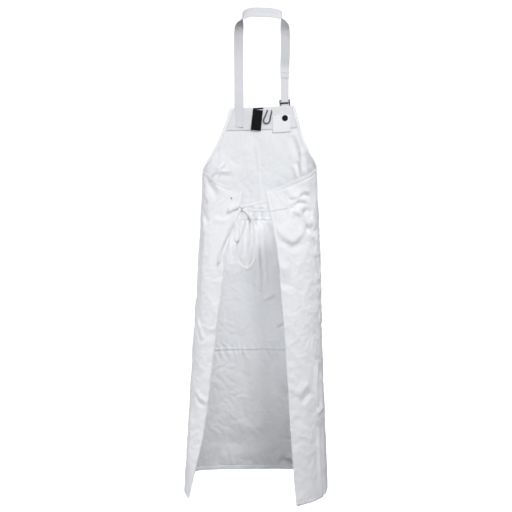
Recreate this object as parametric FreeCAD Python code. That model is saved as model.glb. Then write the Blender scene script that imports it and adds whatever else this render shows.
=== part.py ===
"""Butcher apron with crossed-over wings, tied waist tapes and a slider-adjusted neck strap.

Frame, in millimetres: the wearer faces +Y, +X is to the right of someone who looks at the
wearer's back, +Z is up. The origin is on the inner face of the neck strap, where it passes
behind the neck. Every cloth layer is laid on one body form, a stack of level sections that
run from the left wing's edge round the front to the right wing's edge.
"""
import FreeCAD, Part
import math
import os

V = FreeCAD.Vector
os.makedirs("parts", exist_ok=True)

# ---- heights -------------------------------------------------------------------------------
BIB_TOP_Z = -281.0          # top edge of the bib at the centre line
BIB_TOP_SLOPE = 0.04        # the worn bib sits a little higher on the right
TIE_Z = -580.0              # corners where the wings are tied
HEM_Z = -1481.0
WING_HEM_TOP_Z = -492.0      # where the edge turns from the bib into the wing
SLOPE_TOP_Z = -461.0
HEM_DEPTH = 12.0
BIB_HEM = 11.0              # width of the turned hem down each side of the bib
PANEL_TOP_Z = -652.0        # doubled front panel
PANEL_BOTTOM_Z = -1084.0
PANEL_HALF_WIDTH = 215.0

# ---- cloth layers, measured outwards from the inner face of the main cloth --------------------
CLOTH = 1.6
GAP = 0.5
WIDE_GAP = 1.1              # under pieces that bridge a curve
LAYER = 1.2
INNER_LAYER = (-GAP - LAYER, -GAP)
SECOND_INNER_LAYER = (-2 * GAP - 2 * LAYER - 0.1, -2 * GAP - LAYER)
OUTER_LAYER = (CLOTH + GAP, CLOTH + GAP + LAYER)
HEM_LAYER = (-WIDE_GAP - LAYER, -WIDE_GAP)
BIB_HEM_GAP = 0.55          # more room where the edge turns the corner of the form
TAB_LAYER = (CLOTH + WIDE_GAP, CLOTH + WIDE_GAP + LAYER)

# ---- body form: level, front y, left side x, left side y, right side x, right side y, -------
# ---- left wing edge x and y, right wing edge x and y, squareness of the front ---------------
FORM = [
    (-250, 97, -176, 0, 178, 0, -51, -125, 18, -125, 0.76),
    (-380, 104, -177, 0, 179, 0, -51, -125, 18, -125, 0.70),
    (-487, 114, -178, 0, 180, 0, -51, -125, 18, -125, 0.62),
    (-580, 120, -183, 0, 184, 0, -51, -125, 18, -125, 0.60),
    (-728, 124, -189, -4, 189, -8, -91, -138, 48, -147, 0.60),
    (-886, 125, -198, -10, 192, -20, -116, -147, 64, -168, 0.66),
    (-1090, 126, -210, -15, 195, -34, -140, -157, 79, -194, 0.76),
    (-1290, 127, -221, -19, 202, -48, -166, -166, 90, -220, 0.88),
    (-1481, 127, -231, -20, 208, -56, -211, -176, 104, -239, 0.96),
]

# Cut of the cloth above the tie corners: level, and how far the left and right edges lie from
# the front centre along the cloth. The last pair reaches the tie corners.
CUT = [
    (-281, 98, 116),
    (-330, 113, 131),
    (-389, 140, 149),
    (-423, 160, 168),
    (-447, 179, 184),
    (-470, 204, 211),
    (-487, 231, 238),
    (-520, 300, 312),
    (-550, 368, 388),
]

# ---- neck strap ----------------------------------------------------------------------------
STRAP_WIDTH = 30.0
STRAP_THICK = 2.0
STRAP_MIDDLE_X = 8.5        # the two sides of the strap are mirrored about this line
STRAP_SEWN_TO_Z = -348.0    # lower end of the left side, sewn inside the bib
STRAP_SEAT = 5.2            # centre of the sewn strap in from the inner face of the cloth
STRAP_JOIN_Z = -185.0       # lower end of the right side, where the webbing comes out of it
# centre line of the hanging half and the direction across the strap
STRAP_HALF = [
    ((-68, 79, -108), (1, 0, 0)),
    ((-67, 56, -54), (1, 0, 0.1)),
    ((-61, 29, -20), (0.62, 0, 0.78)),
    ((-43, 8, -3), (0.22, 0, 0.97)),
    ((-6, -1, 0), (0, 0, 1)),
]

# ---- adjuster: webbing, slider, ring ---------------------------------------------------------
WEB_X = 84.0
WEB_WIDTH = 25.0
WEB_THICK = 1.2
WEB_FRONT_Y = 99.8          # run nearer the wearer
WEB_REAR_Y = 104.6          # returning run
WEB_TOP_Z = -160.0
WEB_REAR_TOP_Z = -236.0
RING_Z = -303.0
RING_WIRE = 2.6
RING_DROP = 12.0
LOOP_BOTTOM_Z = -340.0
SLIDER_Z = -267.3
SLIDER_TALL = 22.0
SLIDER_GAP = 27.2           # between its side bars
SLIDER_BAR = 3.8
SLIDER_COCK = 4.0           # degrees, its right side up
SLIDER_CLEAR = 0.4          # from the webbing
SLIDER_ROUND = 0.6
SLIDER_PROUD = 1.4          # its side bars stand before the webbing

# ---- label, hanging loop, patches on the inside of the bib -------------------------------------
FACING_DEPTH = 75.0
PATCH = (42.0, 103.0, -364.0, -306.0)
MARK_X = 85.0
MARK_Z = -318.0
MARK_RADIUS = 10.0
MARK_THICK = 0.4
LABEL_X = -4.5
LABEL_WIDTH = 33.0
LABEL_TOP_Z = -290.0
LABEL_LENGTH = 68.0
LABEL_THICK = 0.9
LABEL_TILT = 6.0            # its lower end lies to the left
HOOK_LOOP_X = (27.0, 41.0)
HOOK_LOOP_TOP_Z = -291.0
HOOK_LOOP_DROP = 44.0
HOOK_LOOP_TAPE = (1.4, 3.4)  # thickness and width
HOOK_LOOP_TILT = 12.0
TACK = 0.8                  # thickness of a bar of stitches

# ---- ties ------------------------------------------------------------------------------------
TAB_WIDTH = 62.0
TAB_RISE = 0.19             # its rows rise away from the edge
TAB_TOP_Z = -584.0
TAB_BOTTOM_Z = -640.0
EYELETS = [(31.0, -598.0), (33.0, -630.0)]   # distance in from the left wing's edge, level
EYELET_RADIUS = 4.0
EYELET_HOLE = 2.0
TAPE = 4.6
KNOT_SIZE = (17.0, 12.0, 13.0)
KNOT_TILT = 20.0
END_KNOT_SIZE = (10.0, 13.0, 13.0)
TAIL_KNOT = (-121.0, -142.5, -791.0)
TAIL_KNOT_SIZE = (7.0, 7.0, 9.0)
KNOT = (-53.0, -138.0, -626.0)
END_KNOT = (-38.0, -138.5, -811.0)
# every route is a list of corner points that the tape rounds
TIES = {
    "tie_upper": [(21, -128, -606), (-12, -134, -616), (-47, -137, -623)],
    "tie_lower": [(25, -129, -633), (-10, -136, -640), (-46, -138, -630)],
    "tie_left": [(-95, -128, -631), (-87, -131, -635), (-77, -135, -630), (-60, -137, -624)],
    "tie_tail": [(-57, -142, -631), (-72, -145, -657), (-88, -144, -693), (-104, -143, -730),
                 (-117, -142, -762), (-121, -142, -788)],
    "bow_loop_short": [(-58, -137, -632), (-66, -141, -662), (-70, -146, -690), (-74, -149, -711),
                       (-74, -150, -724), (-68, -151, -732), (-62, -150, -725), (-60, -148, -712),
                       (-61, -143, -690), (-58, -138, -660), (-54, -135, -633)],
    "bow_loop_long": [(-50, -142, -632), (-31, -144, -646), (-19, -141, -672), (-15, -141, -719),
                      (-14, -141, -765), (-20, -141, -793), (-31, -141, -806),
                      (-48, -141, -806), (-66, -141, -786), (-72, -141, -757),
                      (-62, -141, -723), (-46, -141, -690), (-42, -141, -662), (-51, -139, -632)],
    "tie_end": [(-47, -133, -632), (-31, -132, -654), (-29, -132, -687), (-30, -132, -719),
                (-36, -132, -768), (-38, -134, -808)],
}


def blend_rows(rows, z):
    """The values of a table at level z, smooth between its rows."""
    low, high = rows[-1][0], rows[0][0]
    z = max(min(z, high), low)
    for index, (above, below) in enumerate(zip(rows, rows[1:])):
        if z >= below[0]:
            break
    before = rows[max(index - 1, 0)]
    after = rows[min(index + 2, len(rows) - 1)]
    span = below[0] - above[0]
    t = (z - above[0]) / span
    values = []
    for k in range(1, len(above)):
        slope_a = (below[k] - before[k]) / (below[0] - before[0]) * span
        slope_b = (after[k] - above[k]) / (after[0] - above[0]) * span
        values.append(
            (2 * t**3 - 3 * t**2 + 1) * above[k] + (t**3 - 2 * t**2 + t) * slope_a
            + (3 * t**2 - 2 * t**3) * below[k] + (t**3 - t**2) * slope_b)
    return values


def bezier(points, t):
    weights = [(1 - t)**3, 3 * t * (1 - t)**2, 3 * t * t * (1 - t), t**3]
    return tuple(sum(w * p[k] for w, p in zip(weights, points)) for k in (0, 1))


def half_section(z, right):
    """Plan points from the front centre to one wing's edge, and the length along them."""
    front_y, left_x, left_y, right_x, right_y, lwx, lwy, rwx, rwy, square = blend_rows(FORM, z)
    side_x, side_y = (right_x, right_y) if right else (left_x, left_y)
    edge_x, edge_y = (rwx, rwy) if right else (lwx, lwy)
    front = [(0, front_y), (square * side_x, front_y),
             (side_x, side_y + square * (front_y - side_y)), (side_x, side_y)]
    back = [(side_x, side_y), (side_x, side_y + 0.55 * (edge_y - side_y)),
            (edge_x - 0.5 * (edge_x - side_x), edge_y - 0.12 * (edge_y - side_y)), (edge_x, edge_y)]
    steps = 60
    points = [bezier(front, i / steps) for i in range(steps)]
    points += [bezier(back, i / steps) for i in range(steps + 1)]
    lengths = [0.0]
    for a, b in zip(points, points[1:]):
        lengths.append(lengths[-1] + math.dist(a, b))
    return points, lengths


SECTIONS = {}


def plan_point(s, z):
    key = (round(z, 2), s > 0)
    if key not in SECTIONS:
        SECTIONS[key] = half_section(z, s > 0)
    points, lengths = SECTIONS[key]
    s = abs(s)
    for i in range(1, len(lengths)):
        if s <= lengths[i] or i == len(lengths) - 1:
            t = (s - lengths[i - 1]) / (lengths[i] - lengths[i - 1])
            a, b = points[i - 1], points[i]
            return V(a[0] + (b[0] - a[0]) * t, a[1] + (b[1] - a[1]) * t, z)


def on_form(s, z, offset):
    """The point s along the cloth from the front centre, at level z, offset outwards."""
    step = 1.0
    across = plan_point(s + step, z) - plan_point(s - step, z)
    along = plan_point(s, z + step) - plan_point(s, z - step)
    normal = along.cross(across) * -1
    normal.normalize()
    return plan_point(s, z) + normal * -offset


def wing_edge(z, right):
    """Distance from the front centre to the wing's edge, along the cloth."""
    return half_section(z, right)[1][-1] * (1 if right else -1)


def cut_edge(z, right):
    """Where the cloth ends at level z, above the tie corners too."""
    if z <= TIE_Z:
        return wing_edge(z, right)
    rows = CUT + [(TIE_Z, -wing_edge(TIE_Z, False), wing_edge(TIE_Z, True))]
    left, right_s = blend_rows(rows, z)
    return right_s if right else -left


def solid_between(inner, outer):
    """A closed solid from two grids of points, joined round their borders."""
    faces = []
    borders = []
    for grid in (inner, outer):
        surface = Part.BSplineSurface()
        surface.interpolate(grid)
        u0, u1, v0, v1 = surface.bounds()
        faces.append(surface.toShape())
        borders.append([surface.uIso(u0), surface.uIso(u1), surface.vIso(v0), surface.vIso(v1)])
    for a, b in zip(*borders):
        faces.append(Part.makeRuledSurface(a.toShape(), b.toShape()))
    return closed_solid(faces)


def closed_solid(faces):
    shell = Part.makeShell(faces)
    shell.sewShape()
    solid = Part.makeSolid(shell)
    if solid.Volume < 0:
        solid.reverse()
    if not solid.isValid():
        print("not valid")
    return solid


def form_grid(left, right, top, bottom, offset, columns, rows):
    """Points on the form between two edges, which are functions of the level, and two levels."""
    grid = []
    for i in range(rows + 1):
        z = top + (bottom - top) * i / rows
        a, b = left(z), right(z)
        grid.append([on_form(a + (b - a) * j / columns, z, offset) for j in range(columns + 1)])
    return grid


def layer(left, right, top, bottom, span, columns=6, rows=6):
    """A piece of cloth that lies on the form, between two offsets from it."""
    if not callable(left):
        left = constant(left)
    if not callable(right):
        right = constant(right)
    return solid_between(form_grid(left, right, top, bottom, span[0], columns, rows),
                         form_grid(left, right, top, bottom, span[1], columns, rows))


def constant(value):
    return lambda z: value


def bib_grid(left, right, bottom, offset, columns, rows, top_inset=0.0):
    """Like form_grid, with its top row along the sloping top edge of the bib."""
    grid = []
    for i in range(rows + 1):
        level = BIB_TOP_Z - top_inset + (bottom - BIB_TOP_Z + top_inset) * i / rows
        a, b = left(level), right(level)
        row = []
        for j in range(columns + 1):
            s = a + (b - a) * j / columns
            row.append(on_form(s, level + BIB_TOP_SLOPE * s * (1 - i / rows), offset))
        grid.append(row)
    return grid


def edge(right, inset=0.0):
    sign = -1 if right else 1
    return lambda z: cut_edge(z, right) + sign * inset


def cloth_levels():
    """Levels of the cloth's rows, closer together where its edges slope away to the ties."""
    bib = [BIB_TOP_Z + (SLOPE_TOP_Z - BIB_TOP_Z) * (1 - (1 - i / 12)**2) for i in range(12)]
    slope = [SLOPE_TOP_Z + (TIE_Z - SLOPE_TOP_Z) * i / 14 for i in range(14)]
    skirt = [TIE_Z + (HEM_Z - TIE_Z) * i / 24 for i in range(25)]
    return bib + slope + skirt


def smooth_edge(points):
    curve = Part.BSplineCurve()
    curve.interpolate(points)
    return curve.toShape()


def cloth_rows(offset):
    """One smooth edge per level, from the left edge of the cloth to the right."""
    rows = []
    for level in cloth_levels():
        left, right = cut_edge(level, False), cut_edge(level, True)
        tilt = BIB_TOP_SLOPE * max(0.0, (level - TIE_Z) / (BIB_TOP_Z - TIE_Z))
        row = [left + (right - left) * i / 26 for i in range(27)]
        rows.append(smooth_edge([on_form(s, level + tilt * s, offset) for s in row]))
    return rows


def apron_cloth():
    """Bib, wings and skirt as one cloth with eyelet holes near the left wing's edge."""
    faces = []
    inner, outer = cloth_rows(0.0), cloth_rows(CLOTH)
    for rows in (inner, outer):
        faces += [Part.makeRuledSurface(a, b) for a, b in zip(rows, rows[1:])]
    faces.append(Part.makeRuledSurface(inner[0], outer[0]))
    faces.append(Part.makeRuledSurface(inner[-1], outer[-1]))
    for i in range(len(inner) - 1):
        for end in (0, 1):
            corners = [row.Vertexes[end].Point for row in (inner[i], inner[i + 1],
                                                           outer[i + 1], outer[i])]
            near = Part.makeLine(corners[0], corners[1])
            far = Part.makeLine(corners[3], corners[2])
            faces.append(Part.makeRuledSurface(near, far))
    cloth = closed_solid(faces)
    for inset, z in EYELETS:
        s = wing_edge(z, False) + inset
        centre = on_form(s, z, 0.0)
        normal = on_form(s, z, 1.0) - centre
        cloth = cloth.cut(Part.makeCylinder(EYELET_HOLE, 12, centre - normal * 6, normal))
    return cloth


def eyelets():
    rings = []
    for inset, z in EYELETS:
        s = wing_edge(z, False) + inset
        seat = on_form(s, z, CLOTH + WIDE_GAP)
        normal = on_form(s, z, CLOTH + WIDE_GAP + 1) - seat
        ring = Part.makeCylinder(EYELET_RADIUS, LAYER, seat, normal)
        rings.append(ring.cut(Part.makeCylinder(EYELET_HOLE, LAYER, seat, normal)))
    return Part.makeCompound(rings)


def ribbon(stations, width, thick):
    """A band along stations of centre point and direction across."""
    centres = [V(*centre) for centre, across in stations]
    faces = ([], [])
    for i, (centre, across) in enumerate(stations):
        ahead = centres[min(i + 1, len(centres) - 1)] - centres[max(i - 1, 0)]
        across = V(*across)
        across = across - ahead * (across.dot(ahead) / ahead.dot(ahead))
        across.normalize()
        normal = ahead.cross(across)
        normal.normalize()
        for face, side in zip(faces, (-0.5, 0.5)):
            face.append([centres[i] + across * (width * k) + normal * (thick * side)
                         for k in (-0.5, -0.17, 0.17, 0.5)])
    return solid_between(*faces)


def strap_stations():
    """Sewn end on the left, over the shoulders, round the neck, down to the join on the right."""
    stations = []
    for z in (STRAP_SEWN_TO_Z, -322.0, -296.0):
        y = plan_point(-67.0, z).y - STRAP_SEAT
        stations.append(((-67, y, z), (1, 0, 0)))
    stations += [((-67, 90.5, -262), (1, 0, 0)), ((-67.5, 88.5, -185), (1, 0, 0))]
    stations += STRAP_HALF
    for (x, y, z), (ax, ay, az) in reversed(STRAP_HALF[:-1]):
        stations.append(((2 * STRAP_MIDDLE_X - x, y, z), (-ax, ay, az)))
    end_y = WEB_FRONT_Y - (WEB_THICK + STRAP_THICK) / 2 - GAP
    stations += [((WEB_X, end_y - 2.0, -146), (-1, 0, 0)), ((WEB_X, end_y, -166), (-1, 0, 0)),
                 ((WEB_X, end_y, STRAP_JOIN_Z), (-1, 0, 0))]
    return stations


def box_at(x, y, z, wide, deep, tall):
    """A box centred on a point."""
    return Part.makeBox(wide, deep, tall, V(x - wide / 2, y - deep / 2, z - tall / 2))


def bight(x, width, thick, front_y, rear_y, turn_z, front_end_z, rear_end_z):
    """A band that runs along Z, turns round a bar at turn_z and comes back behind itself."""
    middle = (front_y + rear_y) / 2
    radius = (rear_y - front_y) / 2
    over = 1 if front_end_z < turn_z else -1
    left = x - width / 2

    def turn(r):
        return Part.Arc(V(left, middle - r, turn_z), V(left, middle, turn_z + over * r),
                        V(left, middle + r, turn_z)).toShape()

    def line(y0, z0, y1, z1):
        return Part.makeLine(V(left, y0, z0), V(left, y1, z1))

    outside = radius + thick / 2
    inside = radius - thick / 2
    edges = [line(middle - outside, front_end_z, middle - outside, turn_z), turn(outside),
             line(middle + outside, turn_z, middle + outside, rear_end_z),
             line(middle + outside, rear_end_z, middle + inside, rear_end_z),
             line(middle + inside, rear_end_z, middle + inside, turn_z), turn(inside),
             line(middle - inside, turn_z, middle - inside, front_end_z),
             line(middle - inside, front_end_z, middle - outside, front_end_z)]
    return Part.Face(Part.Wire(Part.__sortEdges__(edges))).extrude(V(width, 0, 0))


def webbing():
    return bight(WEB_X, WEB_WIDTH, WEB_THICK, WEB_FRONT_Y, WEB_REAR_Y, RING_Z, WEB_TOP_Z,
                 WEB_REAR_TOP_Z)


def anchor_loop():
    return bight(WEB_X, WEB_WIDTH, WEB_THICK, WEB_FRONT_Y, WEB_REAR_Y, RING_Z - RING_DROP,
                 LOOP_BOTTOM_Z, LOOP_BOTTOM_Z)


def anchor_ring():
    """A rectangle of wire: the webbing turns round its top bar, the sewn loop round its bottom."""
    wide = WEB_WIDTH + 4.5
    y = (WEB_FRONT_Y + WEB_REAR_Y) / 2
    corners = [(-wide / 2, 0), (wide / 2, 0), (wide / 2, -RING_DROP), (-wide / 2, -RING_DROP)]
    ring = None
    for (x0, z0), (x1, z1) in zip(corners, corners[1:] + corners[:1]):
        start = V(WEB_X + x0, y, RING_Z + z0)
        end = V(WEB_X + x1, y, RING_Z + z1)
        bar = Part.makeCylinder(RING_WIRE / 2, (end - start).Length, start, end - start)
        bar = bar.fuse(Part.makeSphere(RING_WIRE / 2, start))
        ring = bar if ring is None else ring.fuse(bar)
    return ring.removeSplitter()


def slider():
    """Two side bars, end bars behind the webbing's front run and a centre bar before it."""
    frame_front = WEB_FRONT_Y + WEB_THICK / 2 + SLIDER_CLEAR
    frame_back = WEB_REAR_Y - WEB_THICK / 2 - SLIDER_CLEAR
    web_face = WEB_FRONT_Y - WEB_THICK / 2 - SLIDER_CLEAR
    side_x = (SLIDER_GAP + SLIDER_BAR) / 2
    side_front = web_face - SLIDER_PROUD
    pieces = []
    for sign in (-1, 1):
        pieces.append(box_at(WEB_X + sign * side_x, (side_front + frame_back) / 2, SLIDER_Z,
                             SLIDER_BAR, frame_back - side_front, SLIDER_TALL))
        pieces.append(box_at(WEB_X, (frame_front + frame_back) / 2,
                             SLIDER_Z + sign * (SLIDER_TALL - SLIDER_BAR) / 2,
                             SLIDER_GAP + SLIDER_BAR, frame_back - frame_front, SLIDER_BAR))
    pieces.append(box_at(WEB_X, web_face - SLIDER_BAR / 2, SLIDER_Z,
                         SLIDER_GAP + 2 * SLIDER_BAR, SLIDER_BAR, SLIDER_BAR))
    body = pieces[0].multiFuse(pieces[1:]).removeSplitter()
    body = body.makeFillet(SLIDER_ROUND, body.Edges)
    body.rotate(V(WEB_X, 0, SLIDER_Z), V(0, 1, 0), -SLIDER_COCK)
    return body


def label():
    """A folded woven tape label that hangs from its top edge, a little askew."""
    y = plan_point(0.0, LABEL_TOP_Z).y + INNER_LAYER[0] - 2 * GAP - LABEL_THICK / 2
    flap = box_at(LABEL_X, y, LABEL_TOP_Z - LABEL_LENGTH / 2, LABEL_WIDTH, LABEL_THICK, LABEL_LENGTH)
    flap.rotate(V(LABEL_X, 0, LABEL_TOP_Z), V(0, 1, 0), LABEL_TILT)
    print("label hinge y %.2f" % y)
    return flap


def hanging_loop():
    """A U of narrow tape, sewn at its two ends."""
    thick, wide = HOOK_LOOP_TAPE
    x0, x1 = HOOK_LOOP_X
    middle = (x0 + x1) / 2
    bend_z = HOOK_LOOP_TOP_Z - HOOK_LOOP_DROP + (x1 - x0) / 2
    y = plan_point(middle, HOOK_LOOP_TOP_Z).y + INNER_LAYER[0] - 2 * GAP - thick
    solids = []
    for reach in ((x1 - x0 + wide) / 2, (x1 - x0 - wide) / 2):
        block = Part.makeBox(2 * reach, thick, HOOK_LOOP_TOP_Z - bend_z,
                             V(middle - reach, y, bend_z))
        bend = Part.makeCylinder(reach, thick, V(middle, y, bend_z), V(0, 1, 0))
        solids.append(block.fuse(bend).removeSplitter())
    loop = solids[0].cut(solids[1])
    loop.rotate(V(middle, 0, HOOK_LOOP_TOP_Z), V(0, 1, 0), HOOK_LOOP_TILT)
    print("loop hinge y %.2f" % (y + thick / 2))
    return loop


def patch_mark():
    """A plain round print on the patch."""
    seat = on_form(MARK_X, MARK_Z, SECOND_INNER_LAYER[0] - GAP)
    normal = seat - on_form(MARK_X, MARK_Z, SECOND_INNER_LAYER[0] + 0.9)
    return Part.makeCylinder(MARK_RADIUS, MARK_THICK, seat, normal)


def bar_tacks():
    """Short dense stitch bars that hold the strap, the tab and the anchor loop."""
    bars = []
    for z in (STRAP_SEWN_TO_Z + 4, STRAP_SEWN_TO_Z + 24):
        y = plan_point(-67.0, z).y - STRAP_SEAT - STRAP_THICK / 2 - WIDE_GAP - TACK / 2
        bars.append(box_at(-67, y, z, STRAP_WIDTH - 6, TACK, TACK))
    y = WEB_FRONT_Y - WEB_THICK / 2 - STRAP_THICK - 4 * GAP - TACK / 2
    for z in (STRAP_JOIN_Z + 4, STRAP_JOIN_Z + 19):
        bars.append(box_at(WEB_X, y, z, WEB_WIDTH - 4, TACK, TACK))
    y = WEB_REAR_Y + WEB_THICK / 2 + GAP + TACK / 2
    for z in (LOOP_BOTTOM_Z + 4, LOOP_BOTTOM_Z + 14):
        bars.append(box_at(WEB_X, y, z, WEB_WIDTH - 4, TACK, TACK))
    return Part.makeCompound(bars)


def rounded_path(points):
    """Straight runs joined by tangent arcs as large as their two runs allow."""
    points = [V(*p) for p in points]
    edges = []
    radii = []
    start = points[0]
    for before, corner, after in zip(points, points[1:], points[2:]):
        back = (before - corner)
        ahead = (after - corner)
        trim = 0.45 * min(back.Length, ahead.Length)
        back.normalize()
        ahead.normalize()
        half_turn = (math.pi - back.getAngle(ahead)) / 2
        radii.append(trim / math.tan(half_turn))
        first = corner + back * trim
        last = corner + ahead * trim
        bisector = back + ahead
        bisector.normalize()
        middle = corner + bisector * (radii[-1] / math.cos(half_turn) - radii[-1])
        edges.append(Part.LineSegment(start, first).toShape())
        edges.append(Part.Arc(first, middle, last).toShape())
        start = last
    edges.append(Part.LineSegment(start, points[-1]).toShape())
    return Part.Wire(edges), radii


def tape(name, points):
    path, radii = rounded_path(points)
    start = V(*points[0])
    direction = V(*points[1]) - start
    ring = Part.Wire(Part.makeCircle(TAPE / 2, start, direction))
    tube = path.makePipeShell([ring], True, True)
    expected = math.pi * TAPE**2 / 4 * path.Length
    print("%s length %.0f, smallest radius %.1f, volume off by %.2f%%, turns %s"
          % (name, path.Length, min(radii), 100 * (tube.Volume / expected - 1), len(radii)))
    return tube


def knot(centre, size, tilt):
    """A tied knot's outer shape: a rounded lump."""
    lump = Part.makeSphere(0.5)
    matrix = FreeCAD.Matrix()
    matrix.scale(size[0], size[1], size[2])
    lump = lump.transformGeometry(matrix)
    lump.rotate(V(0, 0, 0), V(0, 1, 0), tilt)
    lump.translate(V(*centre))
    return lump


def waist_tab():
    """The doubled corner of the right wing, a little lower at the wing's edge."""
    grids = []
    for offset in TAB_LAYER:
        grid = []
        for i in range(7):
            level = TAB_TOP_Z + (TAB_BOTTOM_Z - TAB_TOP_Z) * i / 6
            insets = [TAB_WIDTH + (1.0 - TAB_WIDTH) * j / 8 for j in range(9)]
            grid.append([on_form(cut_edge(level, True) - inset, level + TAB_RISE * inset, offset)
                         for inset in insets])
        grids.append(grid)
    return solid_between(*grids)


def save(name, shape):
    solids = shape.Solids
    bad = [solid for solid in solids if not solid.isValid() or solid.Volume <= 0]
    print("%-24s %d solid(s) %10.1f mm3 %s" % (name, len(solids), shape.Volume, "BAD" if bad else ""))
    if len(solids) == 1:
        shape = solids[0]
    shape.exportStep("parts/%s.step" % name)


def inner_strip(right, outer_inset, width, top, bottom, span=INNER_LAYER, rows=10):
    """A turned hem that follows one edge of the cloth, on its inner face."""
    return layer(*sorted_edges(right, outer_inset, width), top, bottom, span, 2, rows)


def sorted_edges(right, inset, width):
    near, far = edge(right, inset), edge(right, inset + width)
    return (far, near) if right else (near, far)


def wing_top_hem(right):
    """A turned hem along the wing's sloping top edge, from the bib's hem to the tie corner."""
    grids = ([], [])
    for grid, offset in zip(grids, HEM_LAYER):
        for drop in (1.0, HEM_DEPTH / 2, HEM_DEPTH):
            row = []
            for i in range(13):
                z = WING_HEM_TOP_Z + (TIE_Z - WING_HEM_TOP_Z) * i / 12
                row.append(on_form(edge(right, 4.0)(z), z - drop, offset))
            grid.append(row)
    return solid_between(*grids)


def bib_side_hem(right):
    grids = []
    for offset in HEM_LAYER:
        left, right_edge = sorted_edges(right, 0.5, BIB_HEM - 0.5)
        grids.append(bib_grid(left, right_edge, WING_HEM_TOP_Z + 4, offset - BIB_HEM_GAP, 2, 18, 1.0))
    return solid_between(*grids)


NODES = {
    "apron_cloth": apron_cloth,
    "front_double_panel": lambda: layer(-PANEL_HALF_WIDTH, PANEL_HALF_WIDTH, PANEL_TOP_Z,
                                        PANEL_BOTTOM_Z, OUTER_LAYER, 16, 6),
    "bib_facing": lambda: solid_between(*[
        bib_grid(edge(False, BIB_HEM + 3), edge(True, BIB_HEM + 3), BIB_TOP_Z - FACING_DEPTH,
                 offset, 10, 4, 1.0) for offset in INNER_LAYER]),
    "bib_hem_left": lambda: bib_side_hem(False),
    "bib_hem_right": lambda: bib_side_hem(True),
    "wing_top_hem_left": lambda: wing_top_hem(False),
    "wing_top_hem_right": lambda: wing_top_hem(True),
    "wing_edge_hem_left": lambda: inner_strip(False, 1.0, HEM_DEPTH, TIE_Z - 18, HEM_Z + 14, HEM_LAYER),
    "wing_edge_hem_right": lambda: inner_strip(True, 1.0, HEM_DEPTH, TIE_Z - 18, HEM_Z + 14, HEM_LAYER),
    "bottom_hem": lambda: layer(edge(False, 1.0), edge(True, 1.0), HEM_Z + HEM_DEPTH, HEM_Z,
                                HEM_LAYER, 40, 2),
    "neck_strap": lambda: ribbon(strap_stations(), STRAP_WIDTH, STRAP_THICK),
    "adjuster_webbing": webbing,
    "strap_slider": slider,
    "anchor_ring": anchor_ring,
    "anchor_loop": anchor_loop,
    "corner_patch": lambda: layer(PATCH[0], PATCH[1], PATCH[3], PATCH[2], SECOND_INNER_LAYER, 4, 4),
    "patch_mark": patch_mark,
    "label": label,
    "hanging_loop": hanging_loop,
    "waist_tab": waist_tab,
    "tie_eyelets": eyelets,
    "bar_tacks": bar_tacks,
    "bow_knot": lambda: knot(KNOT, KNOT_SIZE, KNOT_TILT),
    "end_knot": lambda: knot(END_KNOT, END_KNOT_SIZE, 0.0),
    "tail_knot": lambda: knot(TAIL_KNOT, TAIL_KNOT_SIZE, 0.0),
}
for node, make in NODES.items():
    save(node, make())
for node, route in TIES.items():
    save(node, tape(node, route))
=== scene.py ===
"""Looks of the butcher apron: draped cloth, hems, stitching, tapes, label and slider.

Work is in millimetres on a body form, the same one that the CAD cloth lies on, and turned into
metres where a mesh is made. A point of the cloth is named by s, its distance along the cloth
from the front centre (negative to the left), and z, its level.
"""
import math

import bpy
import numpy as np
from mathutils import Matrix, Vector, noise


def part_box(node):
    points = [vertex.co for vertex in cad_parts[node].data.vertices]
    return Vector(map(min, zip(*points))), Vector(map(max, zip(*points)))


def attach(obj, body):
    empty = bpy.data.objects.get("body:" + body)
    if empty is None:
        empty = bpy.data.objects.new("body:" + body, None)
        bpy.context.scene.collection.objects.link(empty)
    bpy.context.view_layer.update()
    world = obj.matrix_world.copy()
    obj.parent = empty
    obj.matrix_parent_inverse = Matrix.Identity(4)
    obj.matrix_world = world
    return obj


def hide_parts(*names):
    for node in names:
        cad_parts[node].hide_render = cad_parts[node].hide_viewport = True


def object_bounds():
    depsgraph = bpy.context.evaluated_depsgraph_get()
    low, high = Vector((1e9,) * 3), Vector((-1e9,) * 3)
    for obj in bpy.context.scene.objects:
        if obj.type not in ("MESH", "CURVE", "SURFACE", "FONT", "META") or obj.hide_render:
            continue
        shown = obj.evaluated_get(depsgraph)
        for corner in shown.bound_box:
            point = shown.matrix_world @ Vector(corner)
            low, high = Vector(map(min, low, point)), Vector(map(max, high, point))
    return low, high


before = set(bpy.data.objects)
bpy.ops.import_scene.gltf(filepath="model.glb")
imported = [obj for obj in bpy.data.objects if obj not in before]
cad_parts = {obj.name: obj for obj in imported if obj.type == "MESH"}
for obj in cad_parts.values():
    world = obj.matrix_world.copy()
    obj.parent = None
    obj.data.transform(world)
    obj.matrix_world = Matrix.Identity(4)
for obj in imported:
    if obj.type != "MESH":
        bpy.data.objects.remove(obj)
cad_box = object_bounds()

MM = 0.001
ROOT = "apron"

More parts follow.
